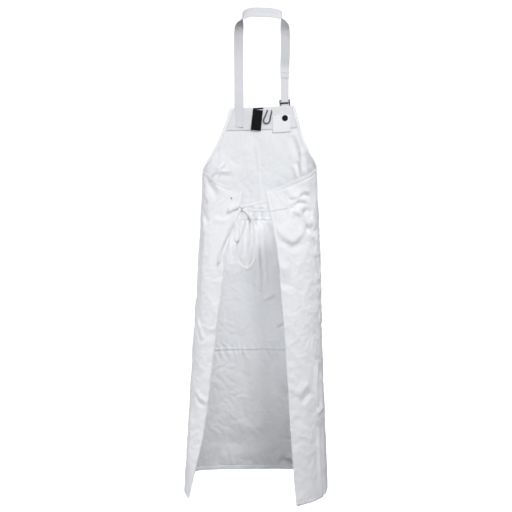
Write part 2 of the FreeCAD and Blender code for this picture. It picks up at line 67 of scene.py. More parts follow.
# ---- body form, as in the CAD: level, front y, left side, right side, wing edges, squareness ----
FORM = [
    (-250, 97, -176, 0, 178, 0, -51, -125, 18, -125, 0.76),
    (-380, 104, -177, 0, 179, 0, -51, -125, 18, -125, 0.70),
    (-487, 114, -178, 0, 180, 0, -51, -125, 18, -125, 0.62),
    (-580, 120, -183, 0, 184, 0, -51, -125, 18, -125, 0.60),
    (-728, 124, -189, -4, 189, -8, -91, -138, 48, -147, 0.60),
    (-886, 125, -198, -10, 192, -20, -116, -147, 64, -168, 0.66),
    (-1090, 126, -210, -15, 195, -34, -140, -157, 79, -194, 0.76),
    (-1290, 127, -221, -19, 202, -48, -166, -166, 90, -220, 0.88),
    (-1481, 127, -231, -20, 208, -56, -211, -176, 104, -239, 0.96),
]
CUT = [
    (-281, 98, 116),
    (-330, 113, 131),
    (-389, 140, 149),
    (-423, 160, 168),
    (-447, 179, 184),
    (-470, 204, 211),
    (-487, 231, 238),
    (-520, 300, 312),
    (-550, 368, 388),
]
BIB_TOP_Z = -281.0
BIB_TOP_SLOPE = 0.04
TIE_Z = -580.0
HEM_Z = -1481.0
ARMHOLE_Z = -492.0
HEM_DEPTH = 12.0
BIB_HEM = 10.0
PANEL_TOP_Z = -652.0
PANEL_BOTTOM_Z = -1084.0
PANEL_HALF_WIDTH = 215.0
CLOTH_MID = 0.8             # middle of the main cloth, out from the form
CLOTH_THICK = 0.8


# ---- the form -------------------------------------------------------------------------------
def blend_rows(rows, z):
    """The values of a table at level z, smooth between its rows."""
    z = max(min(z, rows[0][0]), rows[-1][0])
    for index, (above, below) in enumerate(zip(rows, rows[1:])):
        if z >= below[0]:
            break
    before = np.array(rows[max(index - 1, 0)], float)
    after = np.array(rows[min(index + 2, len(rows) - 1)], float)
    above, below = np.array(above, float), np.array(below, float)
    span = below[0] - above[0]
    t = (z - above[0]) / span
    slope_a = (below - before) / (below[0] - before[0]) * span
    slope_b = (after - above) / (after[0] - above[0]) * span
    value = ((2 * t**3 - 3 * t**2 + 1) * above + (t**3 - 2 * t**2 + t) * slope_a
             + (3 * t**2 - 2 * t**3) * below + (t**3 - t**2) * slope_b)
    return value[1:]


def arc_lengths(points):
    """How far each point of a line is from its first point, along the line."""
    return np.concatenate([[0], np.cumsum(np.linalg.norm(np.diff(points, axis=0), axis=1))])


def bezier(points, t):
    weights = [(1 - t)**3, 3 * t * (1 - t)**2, 3 * t * t * (1 - t), t**3]
    return sum(w[:, None] * np.array(p, float)[None] for w, p in zip(weights, points))


def half_section(z, right):
    """Plan points from the front centre to one wing's edge, and the length along them."""
    front_y, lx, ly, rx, ry, lwx, lwy, rwx, rwy, square = blend_rows(FORM, z)
    side_x, side_y = (rx, ry) if right else (lx, ly)
    edge_x, edge_y = (rwx, rwy) if right else (lwx, lwy)
    front = [(0, front_y), (square * side_x, front_y),
             (side_x, side_y + square * (front_y - side_y)), (side_x, side_y)]
    back = [(side_x, side_y), (side_x, side_y + 0.55 * (edge_y - side_y)),
            (edge_x - 0.5 * (edge_x - side_x), edge_y - 0.12 * (edge_y - side_y)), (edge_x, edge_y)]
    t = np.linspace(0, 1, 61)
    points = np.concatenate([bezier(front, t)[:-1], bezier(back, t)])
    lengths = arc_lengths(points)
    return points, lengths


LEVEL_STEP = 4.0
ARC_STEP = 2.0
TABLE_TOP = -240.0
LEVELS = np.arange(TABLE_TOP, -1520.0, -LEVEL_STEP)
ARCS = np.arange(0.0, 640.0, ARC_STEP)


def build_table():
    """Plan positions of the form at every level and arc length, and the wing edges' lengths."""
    table = np.zeros((2, len(LEVELS), len(ARCS), 2))
    ends = np.zeros((2, len(LEVELS)))
    for side in (0, 1):
        for i, z in enumerate(LEVELS):
            points, lengths = half_section(z, side == 1)
            beyond = points[-1] + (points[-1] - points[-2]) * 40
            far = lengths[-1] + np.linalg.norm(beyond - points[-1])
            path = np.vstack([points, beyond])
            along = np.append(lengths, far)
            for k in (0, 1):
                table[side, i, :, k] = np.interp(ARCS, along, path[:, k])
            ends[side, i] = lengths[-1]
    return table, ends


TABLE, ENDS = build_table()


def plan(s, z):
    """Plan x and y of arrays of cloth places."""
    side = (s > 0).astype(int)
    row = np.clip((TABLE_TOP - z) / LEVEL_STEP, 0, len(LEVELS) - 1.001)
    col = np.clip(np.abs(s) / ARC_STEP, 0, len(ARCS) - 1.001)
    i, j = row.astype(int), col.astype(int)
    a, b = (row - i)[..., None], (col - j)[..., None]
    top = TABLE[side, i, j] * (1 - b) + TABLE[side, i, j + 1] * b
    low = TABLE[side, i + 1, j] * (1 - b) + TABLE[side, i + 1, j + 1] * b
    return top * (1 - a) + low * a


def form_point(s, z):
    return np.concatenate([plan(s, z), z[..., None]], axis=-1)


def form_normal(s, z):
    """Outward normal of the form."""
    step = 3.0
    across = form_point(s + step, z) - form_point(s - step, z)
    along = form_point(s, z + step) - form_point(s, z - step)
    normal = np.cross(along, across)
    return normal / np.linalg.norm(normal, axis=-1, keepdims=True)


def wing_edge(z, right):
    side = 1 if right else 0
    length = np.interp(-np.asarray(z, float), -LEVELS, ENDS[side])
    return length if right else -length


def cut_edge(z, right):
    """Where the cloth ends at each level, above the tie corners too."""
    rows = CUT + [(TIE_Z, float(-wing_edge(TIE_Z, False)), float(wing_edge(TIE_Z, True)))]
    out = []
    for level in np.atleast_1d(z):
        if level <= TIE_Z:
            out.append(float(wing_edge(level, right)))
        else:
            left, right_s = blend_rows(rows, level)
            out.append(right_s if right else -left)
    return np.array(out)


# ---- relief: the cloth's folds, as distances out from the form ----------------------------------
def smooth(edge0, edge1, x):
    t = np.clip((x - edge0) / (edge1 - edge0), 0, 1)
    return t * t * (3 - 2 * t)


def bump(x, centre, width):
    return np.exp(-((x - centre) / width)**2)


def wave_noise(s, z, scale_s, scale_z, seed, octaves=2):
    """Smooth repeatable noise with its own scale along and up the cloth."""
    out = np.zeros(s.shape)
    flat = out.ravel()
    for n, (a, b) in enumerate(zip(s.ravel(), z.ravel())):
        flat[n] = noise.fractal(Vector((a / scale_s, b / scale_z, seed)), 1.0, 2.0, octaves)
    return flat.reshape(s.shape)


def ridged(s, z, scale_s, scale_z, seed):
    """Noise with creases along its middle level, zero on average."""
    return 0.3 - 2 * np.abs(wave_noise(s, z, scale_s, scale_z, seed, 1))


def catmull(values, t):
    """Smooth interpolation of rows of values at t from 0 to len - 1."""
    values = np.array(values, float)
    i = min(int(t), len(values) - 2)
    f = t - i
    p0, p1 = values[max(i - 1, 0)], values[i]
    p2, p3 = values[i + 1], values[min(i + 2, len(values) - 1)]
    return 0.5 * (2 * p1 + (p2 - p0) * f + (2 * p0 - 5 * p1 + 4 * p2 - p3) * f * f
                  + (3 * p1 - p0 - 3 * p2 + p3) * f**3)


FOLD_TAPER = 0.3             # share of a fold's length over which each end dies away


def add_fold(d, s, z, height, left, right, *path):
    """One fold along a path of cloth places, with its own width on each side of the path."""
    steps = 5 * (len(path) - 1)
    line = np.array([catmull(path, k * (len(path) - 1) / steps) for k in range(steps + 1)])
    reach = 3 * max(left, right)
    near = ((s > line[:, 0].min() - reach) & (s < line[:, 0].max() + reach)
            & (z > line[:, 1].min() - reach) & (z < line[:, 1].max() + reach))
    ps, pz = s[near], z[near]
    best = np.full(ps.shape, 1e9)
    side = np.zeros(ps.shape)
    along = np.zeros(ps.shape)
    for k, (a, b) in enumerate(zip(line, line[1:])):
        axis = b - a
        t = np.clip(((ps - a[0]) * axis[0] + (pz - a[1]) * axis[1]) / (axis @ axis), 0, 1)
        ds, dz = ps - a[0] - t * axis[0], pz - a[1] - t * axis[1]
        far = np.hypot(ds, dz)
        closer = far < best
        best = np.where(closer, far, best)
        side = np.where(closer, axis[0] * (pz - a[1]) - axis[1] * (ps - a[0]), side)
        along = np.where(closer, (k + t) / steps, along)
    width = np.where(side > 0, left, right)
    ends = smooth(-0.02, FOLD_TAPER, along) * (1 - smooth(1 - FOLD_TAPER, 1.02, along))
    ratio = np.sqrt((best / width)**2 + 0.03) - 0.17
    d[near] += height * ends * np.clip(1 - ratio / 1.9, 0, None)**1.3


# Folds: height out of the cloth, width on the left and on the right of the path, then the path.
# The front is seen from inside, so its folds that come forward have a height under zero.
FRONT_FOLDS = [
    (-7.0, 16, 9, (-136, -400), (-143, -450), (-147, -498)),
    (5.0, 14, 12, (-125, -400), (-132, -450), (-138, -490)),
    (-5.5, 4, 9, (-150, -499), (-128, -494), (-96, -490)),
    (-5.0, 4, 6, (-146, -490), (-130, -478), (-116, -462)),
    (-3.0, 4, 5, (-140, -484), (-134, -466), (-130, -448)),
    (4.5, 5, 6, (-168, -520), (-152, -508), (-140, -498)),
    (4.0, 8, 10, (-142, -500), (-115, -506), (-84, -504)),
    (-3.0, 10, 12, (-135, -512), (-112, -530), (-92, -560)),
    (-7.0, 14, 8, (140, -420), (145, -460), (146, -512)),
    (5.5, 9, 9, (157, -430), (160, -470), (158, -505)),
    (6.0, 9, 12, (104, -372), (120, -408), (138, -458)),
    (-6.0, 12, 10, (116, -366), (132, -404), (150, -450)),
    (4.5, 6, 7, (122, -462), (133, -482), (139, -512)),
    (-3.5, 7, 7, (112, -470), (124, -492), (130, -520)),
    (-3.0, 8, 8, (152, -500), (172, -492), (190, -478)),
    (-2.2, 4, 6, (-8, -380), (-3, -470), (2, -560), (0, -640)),
    (3.0, 30, 26, (50, -520), (62, -570), (56, -630)),
    (-3.0, 26, 26, (-60, -400), (-40, -450), (-30, -520)),
    (2.5, 24, 20, (-96, -400), (-84, -460), (-70, -520)),
    # gathers over and under the waist seam
    (4.0, 6, 7, (-24, -604), (-24, -630), (-24, -650)),
    (-4.0, 7, 7, (-10, -600), (-11, -630), (-12, -650)),
    (4.0, 6, 6, (4, -606), (3, -630), (3, -650)),
    (-4.0, 7, 7, (16, -602), (16, -630), (15, -650)),
    (4.5, 6, 6, (30, -608), (28, -632), (26, -650)),
    (-3.0, 6, 7, (-42, -612), (-41, -634), (-40, -650)),
    # long pleats under the seam
    (8.0, 14, 5, (2, -654), (5, -720), (9, -786), (14, -866), (20, -914)),
    (-7.0, 5, 18, (12, -654), (15, -720), (19, -786), (25, -860), (31, -900)),
    (6.0, 10, 10, (30, -654), (37, -700), (44, -760), (48, -806)),
    (-5.0, 8, 12, (-4, -656), (-8, -700), (-7, -760), (0, -820)),
    (6.0, 9, 7, (-16, -654), (-12, -686), (-10, -740)),
    (-5.0, 8, 10, (-30, -656), (-28, -700), (-30, -760), (-34, -820)),
    (5.5, 10, 8, (-45, -654), (-47, -710), (-50, -780)),
    (-5.0, 10, 12, (-66, -656), (-68, -716), (-70, -790)),
    (5.0, 12, 12, (-86, -664), (-90, -730), (-92, -800)),
    (-4.5, 14, 12, (62, -656), (66, -720), (74, -800)),
    (4.0, 16, 14, (84, -660), (90, -730), (100, -820)),
    (-4.0, 4, 6, (18, -912), (32, -907), (52, -893)),
    (3.5, 5, 6, (22, -922), (38, -918), (58, -908)),
    (3.5, 4, 4, (-20, -860), (-12, -884), (2, -898)),
    (-3.0, 4, 5, (-12, -858), (-4, -878), (8, -892)),
    (2.5, 4, 5, (52, -1020), (72, -1006), (92, -990)),
    (-2.5, 5, 5, (56, -1008), (74, -996), (94, -982)),
    (-2.5, 24, 24, (-90, -860), (-60, -940), (-70, -1040)),
    (2.5, 30, 26, (60, -920), (30, -980), (36, -1060)),
    # the doubled front's end, and the skirt under it
    (3.0, 12, 14, (-52, -1090), (-48, -1150), (-54, -1240)),
    (-3.0, 12, 14, (-18, -1090), (-16, -1160), (-20, -1260)),
    (3.0, 14, 12, (48, -1090), (52, -1160), (60, -1250)),
    (-2.5, 12, 14, (84, -1092), (82, -1160), (90, -1230)),
    (-2.0, 20, 16, (-120, -1270), (-60, -1330), (10, -1350)),
    (2.0, 24, 20, (-140, -1380), (-60, -1400), (40, -1380)),
    (-5.0, 9, 12, (92, -1434), (108, -1446), (128, -1456)),
    (7.0, 9, 9, (66, -1452), (92, -1458), (120, -1474)),
]
RIGHT_FOLDS = [
    # gathers that run out of the tie tab
    (5.0, 9, 11, (396, -596), (370, -590), (345, -574)),
    (-4.5, 4, 5, (400, -606), (388, -603), (372, -599)),
    (4.0, 5, 6, (396, -611), (378, -608), (350, -601), (326, -606)),
    (-5.0, 5, 6, (362, -593), (340, -585), (320, -588)),
    (4.5, 6, 7, (345, -574), (332, -572), (316, -578)),
    (-6.0, 6, 6, (396, -625), (372, -612), (352, -611), (334, -619)),
    (6.0, 9, 8, (400, -636), (376, -634), (354, -622), (340, -632)),
    (-4.5, 4, 4, (404, -629), (392, -628), (380, -624)),
    (5.0, 4, 6, (402, -637), (375, -645), (358, -665), (336, -688)),
    (-5.5, 8, 7, (360, -648), (338, -631), (316, -641)),
    (4.5, 7, 7, (330, -655), (318, -664), (310, -690)),
    (-6.0, 6, 7, (368, -704), (347, -687), (333, -690), (326, -712)),
    (5.0, 6, 6, (352, -712), (342, -704), (338, -722)),
    # the soft billow under the tab
    (4.0, 26, 26, (430, -668), (410, -690), (392, -684)),
    (6.5, 6, 12, (464, -678), (447, -706), (435, -723), (417, -728), (393, -712), (361, -686)),
    (-4.0, 10, 12, (470, -700), (450, -728), (425, -746), (392, -736), (365, -716)),
    (-3.0, 8, 8, (404, -652), (390, -668), (376, -690)),
    # creases further down
    (4.0, 14, 14, (500, -790), (470, -806), (440, -812)),
    (-3.5, 14, 14, (505, -830), (475, -850), (440, -862)),
    (5.0, 8, 10, (496, -1184), (473, -1161), (446, -1144)),
    (-4.5, 8, 8, (490, -1206), (464, -1184), (436, -1170)),
    (-8.0, 9, 12, (362, -1090), (392, -1180), (398, -1230)),
    (6.0, 9, 10, (384, -1080), (412, -1160), (420, -1224)),
    (4.0, 6, 8, (430, -1240), (405, -1232), (380, -1226)),
    (-9.0, 12, 12, (404, -1270), (424, -1340), (436, -1440), (440, -1490)),
    (7.0, 9, 14, (424, -1280), (446, -1350), (458, -1440), (460, -1490)),
    (3.5, 18, 18, (520, -1260), (490, -1300), (470, -1380)),
]
LEFT_FOLDS = [
    (-7.0, 8, 10, (-284, -516), (-318, -552), (-364, -598)),
    (4.0, 12, 10, (-300, -500), (-340, -544), (-384, -590)),
    (4.0, 12, 12, (-290, -560), (-318, -600), (-338, -640)),
    (-5.0, 7, 7, (-284, -584), (-308, -603), (-330, -616)),
    (-5.0, 7, 8, (-292, -632), (-318, -650), (-336, -676)),
    (3.5, 8, 8, (-300, -650), (-322, -676), (-336, -710)),
    (6.0, 18, 30, (-318, -615), (-341, -723), (-365, -846), (-388, -960)),
    (-5.0, 20, 16, (-296, -700), (-312, -800), (-336, -900)),
    (-3.0, 7, 7, (-365, -640), (-393, -653), (-420, -646)),
    (2.5, 7, 7, (-360, -654), (-392, -668), (-424, -660)),
    (-4.5, 7, 9, (-330, -968), (-368, -1000), (-397, -1034)),
    (4.0, 8, 8, (-346, -962), (-382, -994), (-408, -1026)),
    (-3.5, 6, 7, (-408, -1186), (-440, -1208), (-470, -1214)),
    (3.5, 7, 7, (-412, -1172), (-444, -1194), (-474, -1200)),
    (-4.0, 14, 16, (-360, -1240), (-390, -1330), (-420, -1440)),
    (5.0, 14, 16, (-390, -1230), (-424, -1320), (-452, -1430)),
]


def crumpled(s, z):
    """Short crisp creases, like cloth that was gathered in a hand."""
    value = np.zeros(s.shape)
    for scale, seed, weight in ((34.0, 21.0, 1.0), (17.0, 22.0, 0.5)):
        value += weight * (0.5 - np.abs(wave_noise(s, z, scale, scale * 1.5, seed, 1)) * 2)
    return value


def puckers(s, z, level, seed):
    """A sewn line: a raised edge, a groove, and short gathers above and below."""
    wander = wave_noise(s, np.full(s.shape, level), 60, 10, seed, 2)
    wave = np.sin(2 * math.pi * (s + 14 * wander + 0.22 * (z - level)) / 21.0)
    strength = 0.35 + 0.65 * np.clip(0.5 + 1.6 * wave_noise(s, z, 34, 300, seed + 5, 1), 0, 1)
    over, under = bump(z, level + 9, 8) * (z > level), bump(z, level - 12, 14) * (z < level)
    ridge = -2.4 * bump(z, level + 3.4, 3.0) + 2.6 * bump(z, level - 2.0, 2.8)
    return ridge + strength * wave * (2.4 * over + 3.0 * under)


def hem_relief(s, z):
    """The turned edges: a groove along the inner row of stitches and small waves beside it."""
    row = z[:, len(z[0]) // 2]
    left, right = LEFT[:, None], RIGHT[:, None]
    d = np.zeros(s.shape)
    for inset, slope in ((s - left, np.gradient(LEFT, row)[:, None]),
                         (right - s, np.gradient(RIGHT, row)[:, None])):
        inset = inset / np.hypot(1, slope)
        sewn = 0.3 + 0.7 * (z < ARMHOLE_Z)
        d -= 1.3 * sewn * bump(inset, HEM_DEPTH - 1.5, 2.6)
        d += 1.5 * sewn * bump(inset, HEM_DEPTH - 1, 16) * wave_noise(s * 0.3, z, 30, 26, 31.0, 1)
    rise = z - HEM_Z
    d += 0.9 * bump(rise, HEM_DEPTH - 1.5, 2.6) * np.sign(240 - np.abs(s))
    d += 1.2 * bump(rise, HEM_DEPTH, 14) * wave_noise(s, z * 0.3, 24, 30, 33.0, 1)
    return d


def relief(s, z):
    """All folds together, in millimetres, outward positive."""
    low = smooth(-700, -1450, z)
    d = 3.5 * low * wave_noise(s, z, 130, 900, 1.3) - 1.5 * low
    d += 1.6 * wave_noise(s, z, 90, 240, 7.7)
    warp = 30 * wave_noise(s, z, 80, 80, 41.0, 1)
    d += 1.7 * ridged(s + warp, z - warp, 62, 105, 3.1) + 0.9 * ridged(s - warp, z, 30, 38, 5.3)
    front = np.abs(s) < 240
    for folds, where in ((FRONT_FOLDS, front), (RIGHT_FOLDS, s > 240), (LEFT_FOLDS, s < -240)):
        part = np.zeros(s.shape)
        for height, left, right, *path in folds:
            gain = 0.8 if folds is not FRONT_FOLDS else 0.75 if path[0][1] > -590 else 1.35
            add_fold(part, s, z, height * gain, left, right, *path)
        d += part * where
    inside = 1 - smooth(PANEL_HALF_WIDTH - 4, PANEL_HALF_WIDTH + 6, np.abs(s))
    d += inside * puckers(s, z, PANEL_TOP_Z, 11.0)
    d += inside * puckers(s, z, PANEL_BOTTOM_Z, 13.0)
    d += hem_relief(s, z)
    side = bump(s, 326, 26) * smooth(-640, -700, z) * (1 - smooth(-960, -1120, z) * 0.8)
    d += 4.5 * side * crumpled(s, z)
    d += 1.6 * bump(s, -300, 30) * smooth(-640, -720, z) * crumpled(s, z)
    return d


# ---- the cloth's grid -----------------------------------------------------------------------
ROWS = 360
COLS = 280


def tilt_of(level):
    return BIB_TOP_SLOPE * np.clip((level - TIE_Z) / (BIB_TOP_Z - TIE_Z), 0, None)


def cloth_places():
    """Cloth places of the whole grid: s and z, row by row from the bib's top to the hem."""
    level = np.linspace(BIB_TOP_Z, HEM_Z, ROWS + 1)
    left, right = cut_edge(level, False), cut_edge(level, True)
    t = np.linspace(0, 1, COLS + 1)
    s = left[:, None] + (right - left)[:, None] * t[None]
    z = level[:, None] + tilt_of(level)[:, None] * s
    return level, left, right, s, z


LEVEL, LEFT, RIGHT, GRID_S, GRID_Z = cloth_places()


def grid_normals(points):
    across = np.gradient(points, axis=1)
    along = -np.gradient(points, axis=0)
    normal = np.cross(along, across)
    return normal / np.linalg.norm(normal, axis=-1, keepdims=True)


def draped_cloth():
    """Positions of the cloth's inner face over the whole grid."""
    out = relief(GRID_S, GRID_Z)[..., None]
    return form_point(GRID_S, GRID_Z) + form_normal(GRID_S, GRID_Z) * out


def on_cloth(s, z, offset):
    """Points at cloth places, offset outwards from the draped cloth's inner face."""
    s, z = np.broadcast_arrays(np.asarray(s, float), np.asarray(z, float))
    slope = BIB_TOP_SLOPE * s / (BIB_TOP_Z - TIE_Z)
    level = np.where(z > TIE_Z, (z + slope * TIE_Z) / (1 + slope), z)
    row = np.clip((BIB_TOP_Z - level) / (BIB_TOP_Z - HEM_Z) * ROWS, 0, ROWS - 0.001)
    i = row.astype(int)
    a = row - i
    left = LEFT[i] * (1 - a) + LEFT[i + 1] * a
    right = RIGHT[i] * (1 - a) + RIGHT[i + 1] * a
    col = np.clip((s - left) / (right - left) * COLS, 0, COLS - 0.001)
    j = col.astype(int)
    a, b = a[..., None], (col - j)[..., None]

    def mix(grid):
        return ((grid[i, j] * (1 - b) + grid[i, j + 1] * b) * (1 - a)
                + (grid[i + 1, j] * (1 - b) + grid[i + 1, j + 1] * b) * a)

    normal = mix(GRID_N)
    normal /= np.linalg.norm(normal, axis=-1, keepdims=True)
    over_s = (s - np.clip(s, left, right))[..., None]
    edge = np.where(s[..., None] > 0, GRID_P[i, -1] - GRID_P[i, -2], GRID_P[i, 1] - GRID_P[i, 0])
    edge /= np.linalg.norm(edge, axis=-1, keepdims=True)
    return mix(GRID_P) + edge * over_s + normal * np.asarray(offset, float)[..., None]


# ---- mesh helpers ------------------------------------------------------------------------------
def mesh_object(name, verts, faces, uvs=None):
    """An object from points in millimetres; uvs has one pair per point, in metres."""
    mesh = bpy.data.meshes.new(name)
    mesh.from_pydata((np.asarray(verts, float) * MM).tolist(), [], faces)
    if uvs is not None:
        layer = mesh.uv_layers.new(name="UVMap")
        loops = np.zeros(len(mesh.loops), dtype=int)
        mesh.loops.foreach_get("vertex_index", loops)
        layer.data.foreach_set("uv", np.asarray(uvs, float)[loops].ravel())
    mesh.polygons.foreach_set("use_smooth", [True] * len(mesh.polygons))
    mesh.update()
    obj = bpy.data.objects.new(name, mesh)
    bpy.context.scene.collection.objects.link(obj)
    return obj


def grid_object(name, points, uv_s, uv_z):
    """A sheet over a grid of points, with uvs in millimetres along it."""
    rows, cols = points.shape[0] - 1, points.shape[1] - 1
    corners = [i * (cols + 1) + j for i in range(rows) for j in range(cols)]
    faces = [(a, a + cols + 1, a + cols + 2, a + 1) for a in corners]
    uvs = np.stack([uv_s, uv_z], axis=-1).reshape(-1, 2) * MM
    return mesh_object(name, points.reshape(-1, 3), faces, uvs)


def tube_faces(rings, count, closed=False):
    """Quads round a tube of rings of points; closed joins its last ring to its first."""
    faces = []
    for i in range(rings if closed else rings - 1):
        a, b = i * count, (i + 1) % rings * count
        faces += [(a + j, a + (j + 1) % count, b + (j + 1) % count, b + j) for j in range(count)]
    return faces


def thicken(obj, thick):
    solid = obj.modifiers.new("thickness", "SOLIDIFY")
    solid.thickness = thick * MM
    solid.offset = 0.0
    solid.use_even_offset = True
    return obj


def finish_piece(obj, material, body, nodes):
    obj.data.materials.append(material)
    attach(obj, body)
    if nodes:
        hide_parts(*nodes)
    return obj


# ---- settling the cloth -------------------------------------------------------------------------
SIM_STEP = 2             # the simulated sheet has every second row and column
SIM_FRAMES = 26
SIM_CAP = 14.0           # the furthest a point may move


def hold_weights(s, z):
    """1 where the cloth is sewn to something stiff, low where it hangs free."""
    hold = np.full(s.shape, 0.34)
    hold += 0.66 * smooth(BIB_TOP_Z - 60, BIB_TOP_Z - 12, z)
    for s0, z0, r in ((-67, -330, 34), (84, -340, 40), (float(wing_edge(TIE_Z, True)), -610, 34),
                      (float(wing_edge(TIE_Z, False)), -610, 40)):
        hold = np.maximum(hold, bump(s, s0, r) * bump(z, z0, r))
    return np.clip(hold, 0, 1)


def spread(values):
    """Values on the coarse grid, smoothly interpolated to every row and column."""
    rows = np.array([catmull(values, k / SIM_STEP) for k in range(ROWS + 1)])
    columns = np.swapaxes(rows, 0, 1)
    full = np.array([catmull(columns, k / SIM_STEP) for k in range(COLS + 1)])
    return np.swapaxes(full, 0, 1)


def settle(points):
    """Let the sheet hang with a little spare cloth, so that it buckles into natural folds."""
    coarse = points[::SIM_STEP, ::SIM_STEP]
    s, z = GRID_S[::SIM_STEP, ::SIM_STEP], GRID_Z[::SIM_STEP, ::SIM_STEP]
    sheet = grid_object("settling_sheet", coarse, s, z)
    group = sheet.vertex_groups.new(name="hold")
    for index, weight in enumerate(hold_weights(s, z).ravel()):
        group.add([index], float(weight), "REPLACE")
    cloth = sheet.modifiers.new("Cloth", "CLOTH")
    setting = cloth.settings
    setting.quality = 5
    setting.mass = 0.15
    setting.tension_stiffness = setting.compression_stiffness = 25
    setting.shear_stiffness = 8
    setting.bending_stiffness = 2.0
    setting.air_damping = 2.0
    setting.vertex_group_mass = "hold"
    setting.pin_stiffness = 1.0
    setting.shrink_min = -0.004
    cloth.collision_settings.use_collision = False
    cloth.point_cache.frame_end = SIM_FRAMES
    scene = bpy.context.scene
    for frame_number in range(1, SIM_FRAMES + 1):
        scene.frame_set(frame_number)
    settled = sheet.evaluated_get(bpy.context.evaluated_depsgraph_get()).to_mesh()
    places = np.array([v.co[:] for v in settled.vertices]).reshape(coarse.shape) / MM
    scene.frame_set(1)
    bpy.data.objects.remove(sheet)
    moved = places - coarse
    size = np.linalg.norm(moved, axis=-1, keepdims=True)
    print("SETTLE", "largest", round(float(size.max()), 2), "mean", round(float(size.mean()), 2))
    moved *= SIM_CAP * np.tanh(size / SIM_CAP) / np.maximum(size, 1e-6)
    return points + spread(moved)


GRID_P = draped_cloth()
GRID_P = settle(GRID_P)
GRID_N = grid_normals(GRID_P)


# ---- materials ----------------------------------------------------------------------------------
WAVE_SCALE = 0.314           # the wave texture's scale for bands one metre apart
DEEP_BLACK = (0.004, 0.004, 0.005)
BLACK = (0.006, 0.006, 0.007)


class Shader:
    """A small helper that adds nodes to one material."""

    def __init__(self, name, colour, roughness, **sockets):
        self.material = bpy.data.materials.new(name)
        self.material.use_nodes = True
        self.tree = self.material.node_tree
        self.surface = self.tree.nodes["Principled BSDF"]
        self.surface.inputs["Base Color"].default_value = (*colour, 1.0)
        self.surface.inputs["Roughness"].default_value = roughness
        for socket, value in sockets.items():
            self.surface.inputs[socket.replace("_", " ")].default_value = value
        self.material.diffuse_color = (*colour, 1.0)

    def add(self, kind, **inputs):
        node = self.tree.nodes.new(kind)
        for name, value in inputs.items():
            key = name.replace("_", " ")
            if hasattr(value, "links") or isinstance(value, bpy.types.NodeSocket):
                self.tree.links.new(value, node.inputs[key])
            else:
                node.inputs[key].default_value = value
        return node

    def link(self, output, socket):
        self.tree.links.new(output, socket)

    def math(self, operation, a, b):
        node = self.tree.nodes.new("ShaderNodeMath")
        node.operation = operation
        for socket, value in zip(node.inputs, (a, b)):
            if isinstance(value, bpy.types.NodeSocket):
                self.tree.links.new(value, socket)
            else:
                socket.default_value = value
        return node.outputs[0]

    def bands(self, coords, pitch, direction="X", profile="SIN"):
        """Parallel bands one pitch apart, in metres."""
        wave = self.add("ShaderNodeTexWave", Vector=coords, Scale=WAVE_SCALE / pitch)
        wave.bands_direction = direction
        wave.wave_profile = profile
        return wave.outputs["Fac"]

    def place(self):
        return self.tree.nodes.new("ShaderNodeTexCoord").outputs["Object"]

    def uv(self):
        node = self.tree.nodes.new("ShaderNodeUVMap")
        node.uv_map = "UVMap"
        return node.outputs["UV"]

    def bump(self, height, distance, strength=1.0, under=None):
        node = self.add("ShaderNodeBump", Height=height, Distance=distance, Strength=strength)
        if under is not None:
            self.tree.links.new(under, node.inputs["Normal"])
        return node.outputs["Normal"]

    def tint(self, factor, dark, light):
        """Mixes two colours by a factor into the base colour."""
        ramp = self.tree.nodes.new("ShaderNodeMix")
        ramp.data_type = "RGBA"
        self.tree.links.new(factor, ramp.inputs[0])
        ramp.inputs[6].default_value = (*dark, 1.0)
        ramp.inputs[7].default_value = (*light, 1.0)
        self.tree.links.new(ramp.outputs[2], self.surface.inputs["Base Color"])


TWILL_PITCH = 0.0009


def twill(name, colour, crumple=0.0011):
    """White cotton twill: fine diagonal ribs, small creases and a slightly uneven colour."""
    shader = Shader(name, colour, 0.82, Sheen_Weight=0.12, Sheen_Roughness=0.5,
                    Specular_IOR_Level=0.25)
    uv = shader.uv()
    place = shader.place()
    ribs = shader.bands(uv, TWILL_PITCH, "DIAGONAL")
    yarns = shader.bands(uv, TWILL_PITCH * 0.8, "X")
    weave = shader.math("MULTIPLY", ribs, yarns)
    creases = shader.add("ShaderNodeTexNoise", Vector=place, Scale=34.0, Detail=5.0, Roughness=0.62)
    soft = shader.add("ShaderNodeTexNoise", Vector=place, Scale=9.0, Detail=3.0, Roughness=0.5)
    crushed = shader.add("ShaderNodeTexNoise", Vector=place, Scale=46.0, Detail=2.0, Distortion=0.6)
    crushed = shader.math("ABSOLUTE", shader.math("SUBTRACT", crushed.outputs["Fac"], 0.5), 0.0)
    normal = shader.bump(creases.outputs["Fac"], crumple)
    normal = shader.bump(crushed, crumple * 1.3, 1.0, normal)
    normal = shader.bump(soft.outputs["Fac"], crumple * 3.0, 1.0, normal)
    normal = shader.bump(weave, 0.00012, 0.7, normal)
    shader.link(normal, shader.surface.inputs["Normal"])
    mottled = shader.math("ADD", shader.math("MULTIPLY", weave, 0.35), soft.outputs["Fac"])
    shader.tint(mottled, tuple(c * 0.955 for c in colour), colour)
    return shader.material


def woven_tape(name, colour, rib=0.0012, across=0.0008):
    """Narrow woven tape or webbing: ribs along it and picks across it."""
    shader = Shader(name, colour, 0.78, Sheen_Weight=0.1, Specular_IOR_Level=0.25)
    uv = shader.uv()
    ribs = shader.bands(uv, rib, "X")
    picks = shader.bands(uv, across, "Y")
    weave = shader.math("MULTIPLY", ribs, picks)
    normal = shader.bump(weave, 0.00025, 0.9)
    shader.link(normal, shader.surface.inputs["Normal"])
    shader.tint(weave, tuple(c * 0.9 for c in colour), colour)
    return shader.material


